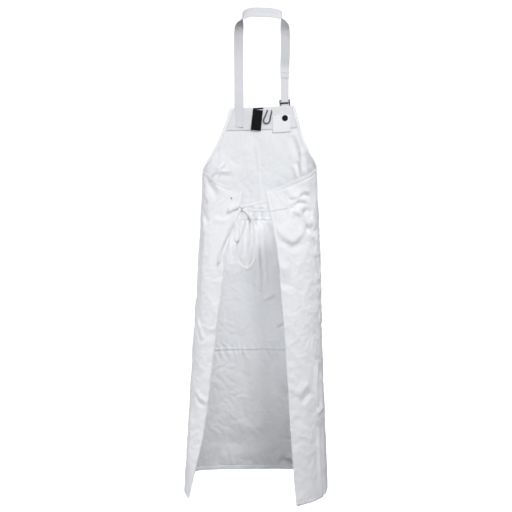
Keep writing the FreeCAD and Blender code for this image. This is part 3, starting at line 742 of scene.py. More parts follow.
def grained(name, colour, roughness, scale, detail, depth, dark, light, **sockets):
    """A material with one fine grain in its bump and its colour."""
    shader = Shader(name, colour, roughness, **sockets)
    grain = shader.add("ShaderNodeTexNoise", Vector=shader.place(), Scale=scale, Detail=detail)
    shader.link(shader.bump(grain.outputs["Fac"], depth), shader.surface.inputs["Normal"])
    shader.tint(grain.outputs["Fac"], dark, light)
    return shader.material


def label_material():
    """Black damask label: fine picks across, a touch of sheen."""
    shader = Shader("black_damask", BLACK, 0.8, Specular_IOR_Level=0.12)
    uv = shader.uv()
    picks = shader.bands(uv, 0.0007, "Y")
    ends = shader.bands(uv, 0.0005, "X")
    weave = shader.math("MULTIPLY", picks, ends)
    shader.link(shader.bump(weave, 0.00012), shader.surface.inputs["Normal"])
    shader.tint(weave, DEEP_BLACK, (0.012, 0.012, 0.014))
    return shader.material


CLOTH = twill("white_twill", (0.80, 0.81, 0.83))
HEM = twill("white_twill_hem", (0.82, 0.83, 0.85))
# The neck strap is the same white twill as the cloth; its darker colour is painted shade.
STRAP_TWILL_PAINTED_SHADE = twill("white_twill_strap_painted_shade", (0.66, 0.67, 0.70), crumple=0.0004)
# The bib facing is the same white twill as the cloth; its darker colour is painted shade.
FACING_TWILL_PAINTED_SHADE = twill("white_twill_facing_painted_shade", (0.72, 0.73, 0.755))
WEBBING = woven_tape("white_webbing", (0.74, 0.75, 0.78))
TAPE = woven_tape("white_tape", (0.90, 0.905, 0.92), 0.0012, 0.0006)
GREY_TAPE = woven_tape("grey_tape", (0.12, 0.125, 0.135), 0.001, 0.0006)
THREAD = grained("sewing_thread", (0.82, 0.83, 0.85), 0.6, 900.0, 2.0, 0.0001,
                 (0.74, 0.75, 0.77), (0.86, 0.87, 0.89), Sheen_Weight=0.2)
PLASTIC = grained("black_acetal", BLACK, 0.5, 1400.0, 3.0, 0.00004,
                  DEEP_BLACK, (0.010, 0.010, 0.011), Specular_IOR_Level=0.2)
LABEL = label_material()
PRINT = grained("black_print", BLACK, 0.8, 1800.0, 4.0, 0.00005,
                DEEP_BLACK, (0.014, 0.014, 0.015), Specular_IOR_Level=0.12)


# ---- camera, light and stage -------------------------------------------------------------------
EYE = (-0.011, -2.340, -0.772)
LENS = 51.95
STUDIO_DROP = 0.12           # from the hem down to the floor
STUDIO_HALF_WIDTH = 4.5
STUDIO_WALL_TALL = 5.0


def camera():
    data = bpy.data.cameras.new("camera")
    data.sensor_width = 36.0
    data.lens = LENS
    data.clip_end = 50.0
    eye = bpy.data.objects.new("camera", data)
    eye.location = EYE
    eye.rotation_euler = (math.pi / 2, 0, 0)
    bpy.context.scene.collection.objects.link(eye)
    bpy.context.scene.camera = eye


def area_light(name, place, aim, size, power):
    data = bpy.data.lights.new(name, "AREA")
    data.shape = "RECTANGLE"
    data.size, data.size_y = size
    data.energy = power
    lamp = bpy.data.objects.new(name, data)
    lamp.location = place
    lamp.rotation_euler = (Vector(aim) - Vector(place)).to_track_quat("-Z", "Y").to_euler()
    lamp.visible_camera = False
    bpy.context.scene.collection.objects.link(lamp)


def lights():
    """Soft lights round the apron; the two inside stand for light that the cloth lets through."""
    bpy.context.scene.view_settings.view_transform = "Standard"
    world = bpy.data.worlds.new("studio")
    world.use_nodes = True
    tree = world.node_tree
    background = tree.nodes["Background"]
    background.inputs["Strength"].default_value = 0.36
    direction = tree.nodes.new("ShaderNodeTexCoord").outputs["Generated"]
    split = tree.nodes.new("ShaderNodeSeparateXYZ")
    ramp = tree.nodes.new("ShaderNodeValToRGB")
    stops = ((0.2, (0.16, 0.165, 0.175, 1.0)), (0.6, (0.96, 0.975, 1.0, 1.0)))
    for element, (position, colour) in zip(ramp.color_ramp.elements, stops):
        element.position = position
        element.color = colour
    height = tree.nodes.new("ShaderNodeMapRange")
    height.inputs["From Min"].default_value = -1.0
    tree.links.new(direction, split.inputs[0])
    tree.links.new(split.outputs["Z"], height.inputs["Value"])
    tree.links.new(height.outputs["Result"], ramp.inputs[0])
    tree.links.new(ramp.outputs["Color"], background.inputs["Color"])
    bpy.context.scene.world = world
    area_light("key", (0.75, -2.05, 0.95), (0.0, 0.0, -0.6), (0.8, 0.8), 46.0)
    area_light("fill", (-0.35, -2.7, -0.7), (0.0, 0.0, -0.9), (1.4, 1.2), 16.0)
    area_light("side", (-2.1, -0.3, -0.85), (0.0, 0.0, -1.0), (1.0, 1.6), 22.0)
    area_light("edge", (2.1, -0.3, -0.3), (0.0, 0.0, -0.8), (1.0, 2.0), 6.0)
    area_light("back", (0.4, 2.4, 0.5), (0.0, 0.0, -0.8), (1.6, 1.6), 10.0)
    area_light("inside", (-0.06, -0.045, -0.79), (0.01, 0.16, -0.87), (0.16, 0.36), 0.145)
    area_light("inside_low", (0.06, -0.06, -1.14), (0.08, 0.14, -1.18), (0.14, 0.40), 0.10)


def cad_box_corners():
    low, high = cad_box
    return [list(map(float, low)), list(map(float, high))]


def stage():
    """A pale sweep: floor, a curve and a wall behind."""
    floor_z = cad_box_corners()[0][2] - STUDIO_DROP
    near, wall, radius = -4.0, 3.2, 1.0
    profile = [(near, floor_z), (wall - radius, floor_z)]
    for k in range(1, 13):
        a = math.pi / 2 * k / 12
        profile.append((wall - radius + radius * math.sin(a),
                        floor_z + radius - radius * math.cos(a)))
    profile.append((wall, floor_z + STUDIO_WALL_TALL))
    sides = (-STUDIO_HALF_WIDTH, STUDIO_HALF_WIDTH)
    verts = [(x / MM, y / MM, z / MM) for y, z in profile for x in sides]
    faces = [(2 * i, 2 * i + 1, 2 * i + 3, 2 * i + 2) for i in range(len(profile) - 1)]
    sweep = mesh_object("studio_sweep", verts, faces)
    shader = Shader("paper_sweep", (0.9, 0.9, 0.9), 0.9)
    shader.surface.inputs["Emission Color"].default_value = (1, 1, 1, 1)
    shader.surface.inputs["Emission Strength"].default_value = 0.75
    sweep.data.materials.append(shader.material)
    sweep.visible_diffuse = sweep.visible_glossy = False


camera()
lights()
stage()


# ---- tapes --------------------------------------------------------------------------------------
TAPE_WIDTH = 7.0
TAPE_THICK = 0.9
KNOT = (-53.0, -138.0, -626.0)
END_KNOT = (-38.0, -138.5, -811.0)
TAIL_KNOT = (-121.0, -142.5, -791.0)
TIES = {
    "tie_upper": [(21, -128, -606), (-12, -134, -616), (-47, -137, -623)],
    "tie_lower": [(25, -129, -633), (-10, -136, -640), (-46, -138, -630)],
    "tie_left": [(-95, -128, -631), (-87, -131, -635), (-77, -135, -630), (-60, -137, -624)],
    "tie_tail": [(-57, -142, -631), (-72, -145, -657), (-88, -144, -693), (-104, -143, -730),
                 (-117, -142, -762), (-121, -142, -788)],
    "bow_loop_short": [(-58, -137, -632), (-66, -141, -662), (-70, -146, -690), (-74, -149, -711),
                       (-74, -150, -724), (-68, -151, -732), (-62, -150, -725), (-60, -148, -712),
                       (-61, -143, -690), (-58, -138, -660), (-54, -135, -633)],
    "bow_loop_long": [(-50, -142, -632), (-31, -144, -646), (-19, -141, -672), (-15, -141, -719),
                      (-14, -141, -765), (-20, -141, -793), (-31, -141, -806),
                      (-48, -141, -806), (-66, -141, -786), (-72, -141, -757),
                      (-62, -141, -723), (-46, -141, -690), (-42, -141, -662), (-51, -139, -632)],
    "tie_end": [(-47, -133, -632), (-31, -132, -654), (-29, -132, -687), (-30, -132, -719),
                (-36, -132, -768), (-38, -134, -808)],
}


def spline_points(route):
    """Points along the smooth line of a route, in millimetres."""
    curve = bpy.data.curves.new("route", "CURVE")
    curve.dimensions = "3D"
    spline = curve.splines.new("NURBS")
    spline.points.add(len(route) - 1)
    for point, place in zip(spline.points, route):
        point.co = (*place, 1.0)
    spline.order_u = 3
    spline.use_endpoint_u = True
    spline.resolution_u = 10
    holder = bpy.data.objects.new("route", curve)
    line = bpy.data.meshes.new_from_object(holder)
    points = np.array([v.co[:] for v in line.vertices])
    bpy.data.objects.remove(holder)
    bpy.data.curves.remove(curve)
    bpy.data.meshes.remove(line)
    return points


def band_section(width, thick, steps=3):
    """Outline of a flat band's section with rounded edges."""
    half, r = width / 2, thick / 2
    outline = []
    for sign in (1, -1):
        for k in range(steps + 1):
            a = sign * (math.pi / 2) - math.pi * k / steps
            outline.append((sign * (half - r) + r * math.cos(a), r * math.sin(a)))
    return outline


TWIST_PITCH = 45.0


def sweep(name, points, facing, width, thick, seed, twist):
    """A flat band along points whose broad side looks along facing, with a slow twist."""
    section = band_section(width, thick)
    tangents = np.gradient(points, axis=0)
    tangents /= np.linalg.norm(tangents, axis=1)[:, None]
    lengths = arc_lengths(points)
    verts, uvs = [], []
    for point, tangent, along in zip(points, tangents, lengths):
        normal = np.array(facing, float) - tangent * np.dot(facing, tangent)
        normal /= np.linalg.norm(normal)
        side = np.cross(tangent, normal)
        turn = twist * noise.noise(Vector((along / TWIST_PITCH, seed, 0.3))) * 2.2
        c, s = math.cos(turn), math.sin(turn)
        across, out = side * c + normal * s, normal * c - side * s
        for u, v in section:
            verts.append(point + across * u + out * v)
            uvs.append((u * MM, along * MM))
    count = len(section)
    faces = tube_faces(len(points), count)
    faces.append(tuple(range(count))[::-1])
    last = (len(points) - 1) * count
    faces.append(tuple(range(last, last + count)))
    return mesh_object(name, verts, faces, uvs)


HANGING = ("tie_tail", "tie_end", "bow_loop_long", "bow_loop_short")


def tie_tapes():
    for index, (name, route) in enumerate(TIES.items()):
        points = spline_points(route)
        hangs = name in HANGING
        piece = sweep(name + "_tape", points, (0.15, -1.0, 0.1 if hangs else 0.2), TAPE_WIDTH,
                      TAPE_THICK, 3.1 * index, 0.5 if hangs else 0.15)
        finish_piece(piece, TAPE, ROOT, [name])


tie_tapes()


# ---- cloth pieces ---------------------------------------------------------------------------
def main_cloth():
    points = GRID_P + GRID_N * CLOTH_MID
    cloth = grid_object("cloth", points, GRID_S, GRID_Z)
    return finish_piece(thicken(cloth, CLOTH_THICK), CLOTH, ROOT, ["apron_cloth"])


def panel(name, s0, s1, z0, z1, offset, node, round_by, step=5.0, material=CLOTH, thick=0.8,
          rise=0.0):
    """A rectangular piece that lies on the cloth; s0, s1 may be functions of the level."""
    rows = max(2, int(abs(z1 - z0) / step))
    z = np.linspace(z0, z1, rows + 1)
    left = s0(z) if callable(s0) else np.full(z.shape, float(s0))
    right = s1(z) if callable(s1) else np.full(z.shape, float(s1))
    cols = max(2, int(np.max(np.abs(right - left)) / step))
    t = np.linspace(0, 1, cols + 1)
    s = left[:, None] + (right - left)[:, None] * t[None]
    zz = np.repeat(z[:, None], cols + 1, axis=1) + BIB_TOP_SLOPE * s * (z[:, None] > ARMHOLE_Z)
    zz = zz + rise * (right[:, None] - s)
    border = np.pad(np.zeros((rows - 1, cols - 1)), 1, constant_values=1.0)
    points = on_cloth(s, zz, offset - round_by * border)
    obj = grid_object(name, points, s, zz)
    return finish_piece(thicken(obj, thick), material, ROOT, [node])


HEM_THICK = 0.7


def edge_strip(name, path, inward, depth, node):
    """A turned hem: its profile of (distance in, offset) swept along an edge of the cloth."""
    path = np.array(path, float)
    inward = np.array(inward, float)
    lengths = arc_lengths(path)
    profile = hem_profile(depth)
    inset, offset = np.array(profile, float).T
    s = path[:, 0][:, None] + inward[:, 0][:, None] * inset[None]
    z = path[:, 1][:, None] + inward[:, 1][:, None] * inset[None]
    points = on_cloth(s, z, np.broadcast_to(offset[None], s.shape))
    along = np.repeat(lengths[:, None], len(profile), axis=1)
    across = np.repeat(inset[None], len(path), axis=0)
    obj = grid_object(name, points, along, across)
    return finish_piece(thicken(obj, HEM_THICK), HEM, ROOT, [node])


def inward_of(path, towards):
    """Unit vectors in (s, z), square to a path, on the side of a place."""
    path = np.array(path, float)
    along = np.gradient(path, axis=0)
    along /= np.linalg.norm(along, axis=1)[:, None]
    square = np.stack([-along[:, 1], along[:, 0]], axis=1)
    sign = np.sign(((np.array(towards, float)[None] - path) * square).sum(axis=1))
    return square * sign[:, None]


def hem_profile(depth):
    """Flat on the inside, then round the fold to the outer face."""
    flat = [(depth - depth * k / 4, -0.25) for k in range(4)]
    return flat + [(1.3, -0.25), (0.3, -0.05), (-0.1, 0.35), (0.2, 0.75), (1.2, 0.86)]


def side_path(right, top, bottom, step=5.0):
    """The cloth's edge between two levels, as cloth places."""
    z = np.arange(top, bottom, -step)
    z = np.append(z, bottom)
    s = cut_edge(z, right)
    slope = tilt_of(z) * s
    return np.stack([s, z + slope], axis=1)


CENTRE = (0.0, -900.0)
BIB_CENTRE = (0.0, -700.0)


def hems():
    for right, word in ((False, "left"), (True, "right")):
        bib = side_path(right, BIB_TOP_Z, ARMHOLE_Z)
        edge_strip("bib_hem_%s_fold" % word, bib, inward_of(bib, BIB_CENTRE),
                   BIB_HEM, "bib_hem_%s" % word)
        top = side_path(right, ARMHOLE_Z, TIE_Z, 2.5)
        edge_strip("wing_top_hem_%s_fold" % word, top, inward_of(top, CENTRE),
                   HEM_DEPTH, "wing_top_hem_%s" % word)
        back = side_path(right, TIE_Z, HEM_Z)
        edge_strip("wing_edge_hem_%s_fold" % word, back, inward_of(back, CENTRE),
                   HEM_DEPTH, "wing_edge_hem_%s" % word)
    s = np.arange(LEFT[-1], RIGHT[-1], 5.0)
    bottom = np.stack([s, np.full(s.shape, HEM_Z)], axis=1)
    edge_strip("bottom_hem_fold", bottom, inward_of(bottom, CENTRE), HEM_DEPTH, "bottom_hem")


FACING_DEPTH = 75.0
PATCH = (42.0, 103.0, -306.0, -364.0)
TAB_WIDTH = 62.0
TAB_RISE = 0.19
TAB_TOP_Z = -584.0
TAB_SEAM_Z = -609.0
TAB_BOTTOM_Z = -640.0
TAB_EDGE = float(wing_edge(-612.0, True))


def front_panels():
    panel("double_panel", -PANEL_HALF_WIDTH, PANEL_HALF_WIDTH, PANEL_TOP_Z, PANEL_BOTTOM_Z, 2.2,
          "front_double_panel", round_by=0.4)
    panel("facing", lambda z: cut_edge(z, False) + BIB_HEM + 3,
          lambda z: cut_edge(z, True) - BIB_HEM - 3, BIB_TOP_Z - 1.0,
          BIB_TOP_Z - FACING_DEPTH, -0.6, "bib_facing", step=4.0, material=FACING_TWILL_PAINTED_SHADE,
          thick=0.3, round_by=-0.25)
    panel("inside_patch", PATCH[0], PATCH[1], PATCH[2] - 4, PATCH[3] - 4, -1.25, "corner_patch",
          step=4.0, round_by=-0.6, thick=0.35)
    panel("tab", TAB_EDGE - TAB_WIDTH, TAB_EDGE - 1.0, TAB_TOP_Z, TAB_BOTTOM_Z, 1.6, "waist_tab",
          step=2.0, round_by=0.5, thick=0.8, rise=TAB_RISE)


# ---- strap, webbing and slider -------------------------------------------------------------
STRAP_X = -67.0
STRAP_WIDTH = 30.0
STRAP_THICK = 1.5
STRAP_MIDDLE_X = 8.5
STRAP_JOIN_Z = -185.0
STRAP_SAMPLES = 240
STRAP_HALF = [
    ((-68, 79, -108), (1, 0, 0)),
    ((-67, 56, -54), (1, 0, 0.1)),
    ((-61, 29, -20), (0.62, 0, 0.78)),
    ((-43, 8, -3), (0.22, 0, 0.97)),
    ((-6, -1, 0), (0, 0, 1)),
]
WEB_X = 84.0
WEB_WIDTH = 25.0
WEB_THICK = 1.2
WEB_STEP = 4.0
WEB_FRONT_Y = 99.8
WEB_REAR_Y = 104.6
WEB_TOP_Z = -160.0
WEB_REAR_TOP_Z = -236.0
RING_Z = -303.0
RING_DROP = 12.0
LOOP_BOTTOM_Z = -340.0


def inner_y(x, z, offset):
    """The y of the cloth's face at a front place."""
    return float(on_cloth(np.array([x]), np.array([z]), offset)[0][1])


def strap_stations():
    stations = []
    for z in (-348.0, -335.0, -322.0, -309.0, -296.0):
        stations.append(((STRAP_X, inner_y(STRAP_X, z, -2.6), z), (1, 0, 0)))
    stations += [((-67, 90.5, -262), (1, 0, 0)), ((-67.5, 88.5, -185), (1, 0, 0))]
    stations += STRAP_HALF
    for (x, y, z), (ax, ay, az) in reversed(STRAP_HALF[:-1]):
        stations.append(((2 * STRAP_MIDDLE_X - x, y, z), (-ax, ay, az)))
    end_y = WEB_FRONT_Y - (WEB_THICK + STRAP_THICK) / 2 - 0.4
    stations += [((WEB_X, end_y - 2.0, -146), (-1, 0, 0)), ((WEB_X, end_y, -166), (-1, 0, 0)),
                 ((WEB_X, end_y, STRAP_JOIN_Z), (-1, 0, 0))]
    return stations


def strap_frames():
    """Centre, across and outward normal along the strap."""
    stations = strap_stations()
    centres = [c for c, a in stations]
    across = [a for c, a in stations]
    t = np.linspace(0, len(stations) - 1, STRAP_SAMPLES)
    line = np.array([catmull(centres, v) for v in t])
    side = np.array([catmull(across, v) for v in t])
    tangent = np.gradient(line, axis=0)
    tangent /= np.linalg.norm(tangent, axis=1)[:, None]
    side -= tangent * (side * tangent).sum(axis=1)[:, None]
    side /= np.linalg.norm(side, axis=1)[:, None]
    return line, side, np.cross(tangent, side)


def neck_strap():
    """Two plies of twill, turned in at the edges, with a soft roll across the band."""
    line, side, out = strap_frames()
    along = arc_lengths(line)
    half = STRAP_WIDTH / 2
    u = np.linspace(-half, half, 13)
    rows = []
    for k in range(len(line)):
        wrinkle = np.array([noise.noise(Vector((a / 11.0, along[k] / 26.0, 5.0))) for a in u])
        # sewn flat at both ends, free to curl between them
        end = smooth(along[-1] - 60, along[-1] - 25, along[k])
        free = float(smooth(60, 110, along[k]) * (1 - end))
        lift = free * (0.55 * wrinkle + 0.9 * (u / half)**2)
        rows.append(line[k] + side[k] * u[:, None] + out[k] * lift[:, None])
    points = np.array(rows)
    strap = grid_object("neck_band", points, *np.meshgrid(u, along))
    thicken(strap, STRAP_THICK)
    bevel = strap.modifiers.new("rounded edge", "BEVEL")
    bevel.width = 0.5 * MM
    bevel.segments = 2
    bevel.limit_method = "ANGLE"
    finish_piece(strap, STRAP_TWILL_PAINTED_SHADE, ROOT, ["neck_strap"])
    return out, along, points


def bight_points(front_y, rear_y, turn_z, front_end_z, rear_end_z):
    """Centre line in y and z of a band that runs along Z, turns round a bar and comes back."""
    middle, radius = (front_y + rear_y) / 2, (rear_y - front_y) / 2
    over = 1 if front_end_z < turn_z else -1
    count = max(2, int(abs(front_end_z - turn_z) / WEB_STEP))
    line = [(front_y, front_end_z + (turn_z - front_end_z) * k / count) for k in range(count)]
    for k in range(13):
        a = math.pi * k / 12
        line.append((middle - radius * math.cos(a), turn_z + over * radius * math.sin(a)))
    count = max(2, int(abs(rear_end_z - turn_z) / WEB_STEP))
    line += [(rear_y, turn_z + (rear_end_z - turn_z) * k / count) for k in range(1, count + 1)]
    return line


def bight(name, line, node):
    half = WEB_WIDTH / 2
    u = np.linspace(-half, half, 9)
    points = np.array([[(WEB_X + a, y, z) for a in u] for y, z in line])
    across, along = np.meshgrid(u, arc_lengths(np.array(line)))
    band = grid_object(name, points, across, along)
    return finish_piece(thicken(band, WEB_THICK), WEBBING, ROOT, [node])


def adjuster():
    bight("webbing_band", bight_points(WEB_FRONT_Y, WEB_REAR_Y, RING_Z, WEB_TOP_Z, WEB_REAR_TOP_Z),
          "adjuster_webbing")
    bight("anchor_band", bight_points(WEB_FRONT_Y, WEB_REAR_Y, RING_Z - RING_DROP,
                                      LOOP_BOTTOM_Z, LOOP_BOTTOM_Z), "anchor_loop")
    for node in ("strap_slider", "anchor_ring"):
        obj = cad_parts[node]
        obj.data.materials.clear()
        obj.data.materials.append(PLASTIC)


# ---- label, hanging loop, mark --------------------------------------------------------------
LABEL_X = -4.5
LABEL_WIDTH = 33.0
LABEL_TOP_Z = -290.0
LABEL_LENGTH = 68.0
LABEL_TILT = 6.0
LABEL_THICK = 0.6
LABEL_STRIP_TALL = 4.5
HOOK_LOOP_X = (27.0, 41.0)
HOOK_LOOP_TOP_Z = -291.0
HOOK_LOOP_DROP = 45.0
HOOK_LOOP_WIDTH = 5.2
MARK_X = 85.0
MARK_Z = -318.0
MARK_RADIUS = 10.0


def turned(points, x, z, degrees):
    """Points turned about the Y direction through a place."""
    a = math.radians(degrees)
    out = np.array(points, float)
    dx, dz = out[..., 0] - x, out[..., 2] - z
    out[..., 0] = x + dx * math.cos(a) + dz * math.sin(a)
    out[..., 2] = z - dx * math.sin(a) + dz * math.cos(a)
    return out


def label_strip(y):
    """The label's folded top, sewn down over the facing."""
    half = LABEL_WIDTH / 2
    u, v = np.meshgrid(np.linspace(-half, half, 9), np.linspace(0, -LABEL_STRIP_TALL, 4))
    x = LABEL_X + 1.0 + u
    z = LABEL_TOP_Z + 6.5 + v + BIB_TOP_SLOPE * x
    points = np.stack([x, np.full(x.shape, y + 0.6), z], axis=-1)
    strip = grid_object("label_strip", points, x, z)
    finish_piece(thicken(strip, LABEL_THICK), LABEL, ROOT, [])


def label_flap():
    """A black woven label that hangs with a slight bow."""
    low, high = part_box("label")
    y = (low[1] + high[1]) / 2 / MM
    u, v = np.meshgrid(np.arange(13) / 12 - 0.5, np.arange(27) / 26)
    belly = 0.9 * np.sin(math.pi * v) - 0.8 * v * v * (2 * u)**2
    points = np.stack([LABEL_X + u * LABEL_WIDTH, y - belly, LABEL_TOP_Z - v * LABEL_LENGTH], -1)
    points = turned(points, LABEL_X, LABEL_TOP_Z, LABEL_TILT)
    flap = grid_object("label_flap", points, u * LABEL_WIDTH, -v * LABEL_LENGTH)
    finish_piece(thicken(flap, LABEL_THICK), LABEL, "label", ["label"])
    return y


def hanging_loop():
    """Narrow tape sewn at both ends, hanging open and a little to the left."""
    low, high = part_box("hanging_loop")
    y = (low[1] + high[1]) / 2 / MM
    x0, x1 = HOOK_LOOP_X
    top, low = HOOK_LOOP_TOP_Z, HOOK_LOOP_TOP_Z - HOOK_LOOP_DROP
    route = [(x0, y, top), (x0 - 3, y - 1, top - 10), (x0 - 9, y - 1, top - 23),
             (x0 - 14, y, top - 34), (x0 - 11, y, low + 3), (x0 - 4, y, low),
             (x0 + 5, y, low + 4), (x0 + 9, y, low + 14), (x1 - 4, y, top - 18),
             (x1, y, top - 8), (x1, y, top)]
    points = spline_points(route)
    loop = sweep("hook_tape", points, (0.35, -0.9, 0.1), HOOK_LOOP_WIDTH, TAPE_THICK, 2.0, 0.6)
    finish_piece(loop, GREY_TAPE, "hanging_loop", ["hanging_loop"])


def round_print(name, s0, z0, radius, offset, node):
    """A plain round print that follows the patch."""
    rings, count = 6, 48
    r = radius * (np.arange(rings + 1) / rings)[:, None]
    a = (2 * math.pi * np.arange(count + 1) / count)[None]
    s, z = s0 + r * np.cos(a), z0 + r * np.sin(a)
    obj = grid_object(name, on_cloth(s, z, offset), s, z)
    return finish_piece(thicken(obj, 0.25), PRINT, ROOT, [node])


# ---- knots, eyelets, tacks, stitches -------------------------------------------------------------
def ring_band(centre, axis, radius_a, radius_b, width, thick, squeeze=0.0):
    """A closed wrap of tape round an axis, as points for joining."""
    axis = Vector(axis).normalized()
    side = axis.orthogonal().normalized()
    up = axis.cross(side)
    section = band_section(width, thick)
    count = 28
    verts = []
    for k in range(count):
        a = 2 * math.pi * k / count
        rim = side * (radius_a * math.cos(a)) + up * (radius_b * math.sin(a))
        out = rim.normalized()
        drift = axis * (squeeze * math.sin(a))
        for u, v in section:
            verts.append(Vector(centre) + rim + drift + axis * u + out * v)
    return verts, tube_faces(count, len(section), closed=True)


def joined(name, parts):
    verts, faces = [], []
    for v, f in parts:
        base = len(verts)
        verts += [tuple(p) for p in v]
        faces += [tuple(i + base for i in face) for face in f]
    uvs = np.array([(v[0] * MM, v[2] * MM) for v in verts])
    return mesh_object(name, verts, faces, uvs)


LUMP_BUMPS = 0.25


def lump(centre, size, tilt, seed):
    """A soft closed lump under the wraps."""
    verts = []
    rings, count = 12, 18
    for i in range(rings + 1):
        b = math.pi * i / rings
        for k in range(count):
            a = 2 * math.pi * k / count
            p = Vector((math.sin(b) * math.cos(a), math.sin(b) * math.sin(a), math.cos(b)))
            r = 0.5 * (1 + LUMP_BUMPS * noise.noise(p * 2.2 + Vector((seed, 0, 0))))
            q = Vector((p.x * size[0] * r, p.y * size[1] * r, p.z * size[2] * r))
            c, s = math.cos(tilt), math.sin(tilt)
            verts.append(Vector(centre) + Vector((q.x * c + q.z * s, q.y, q.z * c - q.x * s)))
    return verts, tube_faces(rings + 1, count)


def knots():
    x, y, z = KNOT
    bow = joined("bow_knot_tape", [
        lump(KNOT, (14.0, 9.0, 11.0), 0.3, 1.0),
        ring_band((x, y, z), (0.25, 0.0, 1.0), 5.6, 5.2, 6.0, 1.3, 1.0),
        ring_band((x - 3.5, y, z + 0.5), (1.0, 0.1, 0.35), 4.8, 5.2, 5.0, 1.3, -0.8),
        ring_band((x + 4.0, y, z - 0.5), (1.0, -0.2, -0.5), 4.4, 5.0, 5.0, 1.3, 0.8)])
    finish_piece(bow, TAPE, ROOT, ["bow_knot"])
    for name, centre, size, node in (("end_knot_tape", END_KNOT, (8.0, 9.0, 10.0), "end_knot"),
                                     ("tail_knot_tape", TAIL_KNOT, (6.0, 6.0, 8.0), "tail_knot")):
        piece = joined(name, [
            lump(centre, size, 0.2, 4.0),
            ring_band(centre, (0.6, 0.2, 1.0), size[0] * 0.47, size[1] * 0.47, 4.0, 1.2, 0.8)])
        finish_piece(piece, TAPE, ROOT, [node])


EYELETS = [(31.0, -598.0), (33.0, -630.0)]


def eyelets():
    """Stitched eyelets: a raised ring of thread, with a small black ring inside it as painted shade
    for the dark hole.
    """
    parts, hole_shade_rings = [], []
    for inset, z in EYELETS:
        s = float(wing_edge(z, False)) + inset
        seat = on_cloth(np.array([s]), np.array([z]), 1.5)[0]
        normal = Vector(seat - on_cloth(np.array([s]), np.array([z]), 0.0)[0]).normalized()
        parts.append(ring_band(tuple(seat), tuple(normal), 3.0, 3.0, 0.9, 1.9))
        # a small black ring in the middle: painted shade standing in for the hole
        hole_shade_rings.append(ring_band(tuple(seat), tuple(normal), 0.9, 0.9, 0.5, 1.8))
    finish_piece(joined("eyelet_rings", parts), THREAD, ROOT, ["tie_eyelets"])
    finish_piece(joined("eyelet_holes_painted_shade", hole_shade_rings), PRINT, ROOT, [])


STITCH_LENGTH = 2.4
STITCH_PITCH = 3.3


def stitch_mesh(name, places, width=0.55, nodes=()):
    """Threads lying on a surface: each place is (point, direction, outward normal)."""
    verts, faces = [], []
    for point, along, out in places:
        point, along, out = (np.asarray(v, float) for v in (point, along, out))
        along = along / np.linalg.norm(along)
        out = out / np.linalg.norm(out)
        side = np.cross(along, out)
        base = len(verts)
        verts.append(point - along * STITCH_LENGTH / 2 - out * 0.1)
        for t in (-0.3, 0.3):
            for a, b in ((1, 0.0), (0.5, 0.8), (-0.5, 0.8), (-1, 0.0)):
                verts.append(point + along * t * STITCH_LENGTH + side * a * width / 2
                             + out * b * width / 2)
        verts.append(point + along * STITCH_LENGTH / 2 - out * 0.1)
        for k in range(3):
            faces.append((base, base + 2 + k, base + 1 + k))
            faces.append((base + 1 + k, base + 2 + k, base + 6 + k, base + 5 + k))
            faces.append((base + 9, base + 5 + k, base + 6 + k))
        faces.append((base, base + 1, base + 4))
        faces.append((base + 4, base + 1, base + 5, base + 8))
        faces.append((base + 9, base + 8, base + 5))
    obj = mesh_object(name, verts, faces, np.zeros((len(verts), 2)))
    return finish_piece(obj, THREAD, ROOT, nodes)


def seam(path, offset, pitch=STITCH_PITCH, outward=1.0, inset=0.0, towards=CENTRE):
    """Stitch places along a path of cloth places; outward -1 puts them on the inner face."""
    path = np.array(path, float)
    if inset:
        path = path + inward_of(path, towards) * inset
    lengths = arc_lengths(path)
    at = np.arange(pitch, lengths[-1] - pitch / 2, pitch)
    s = np.interp(at, lengths, path[:, 0])
    z = np.interp(at, lengths, path[:, 1])
    points = on_cloth(s, z, offset)
    near = on_cloth(s, z, offset - 1.0)
    along = np.gradient(points, axis=0)
    return list(zip(points, along, (points - near) * outward))


def line_path(*corners, step=5.0):
    """A path of cloth places through corners, with a point every few millimetres."""
    out = []
    for a, b in zip(corners, corners[1:]):
        count = max(1, int(math.dist(a, b) / step))
        out += [(a[0] + (b[0] - a[0]) * k / count, a[1] + (b[1] - a[1]) * k / count)
                for k in range(count)]
    return out + [corners[-1]]


OUTER_FACE = CLOTH_MID + CLOTH_THICK / 2 + 0.1
INNER_FACE = -0.7


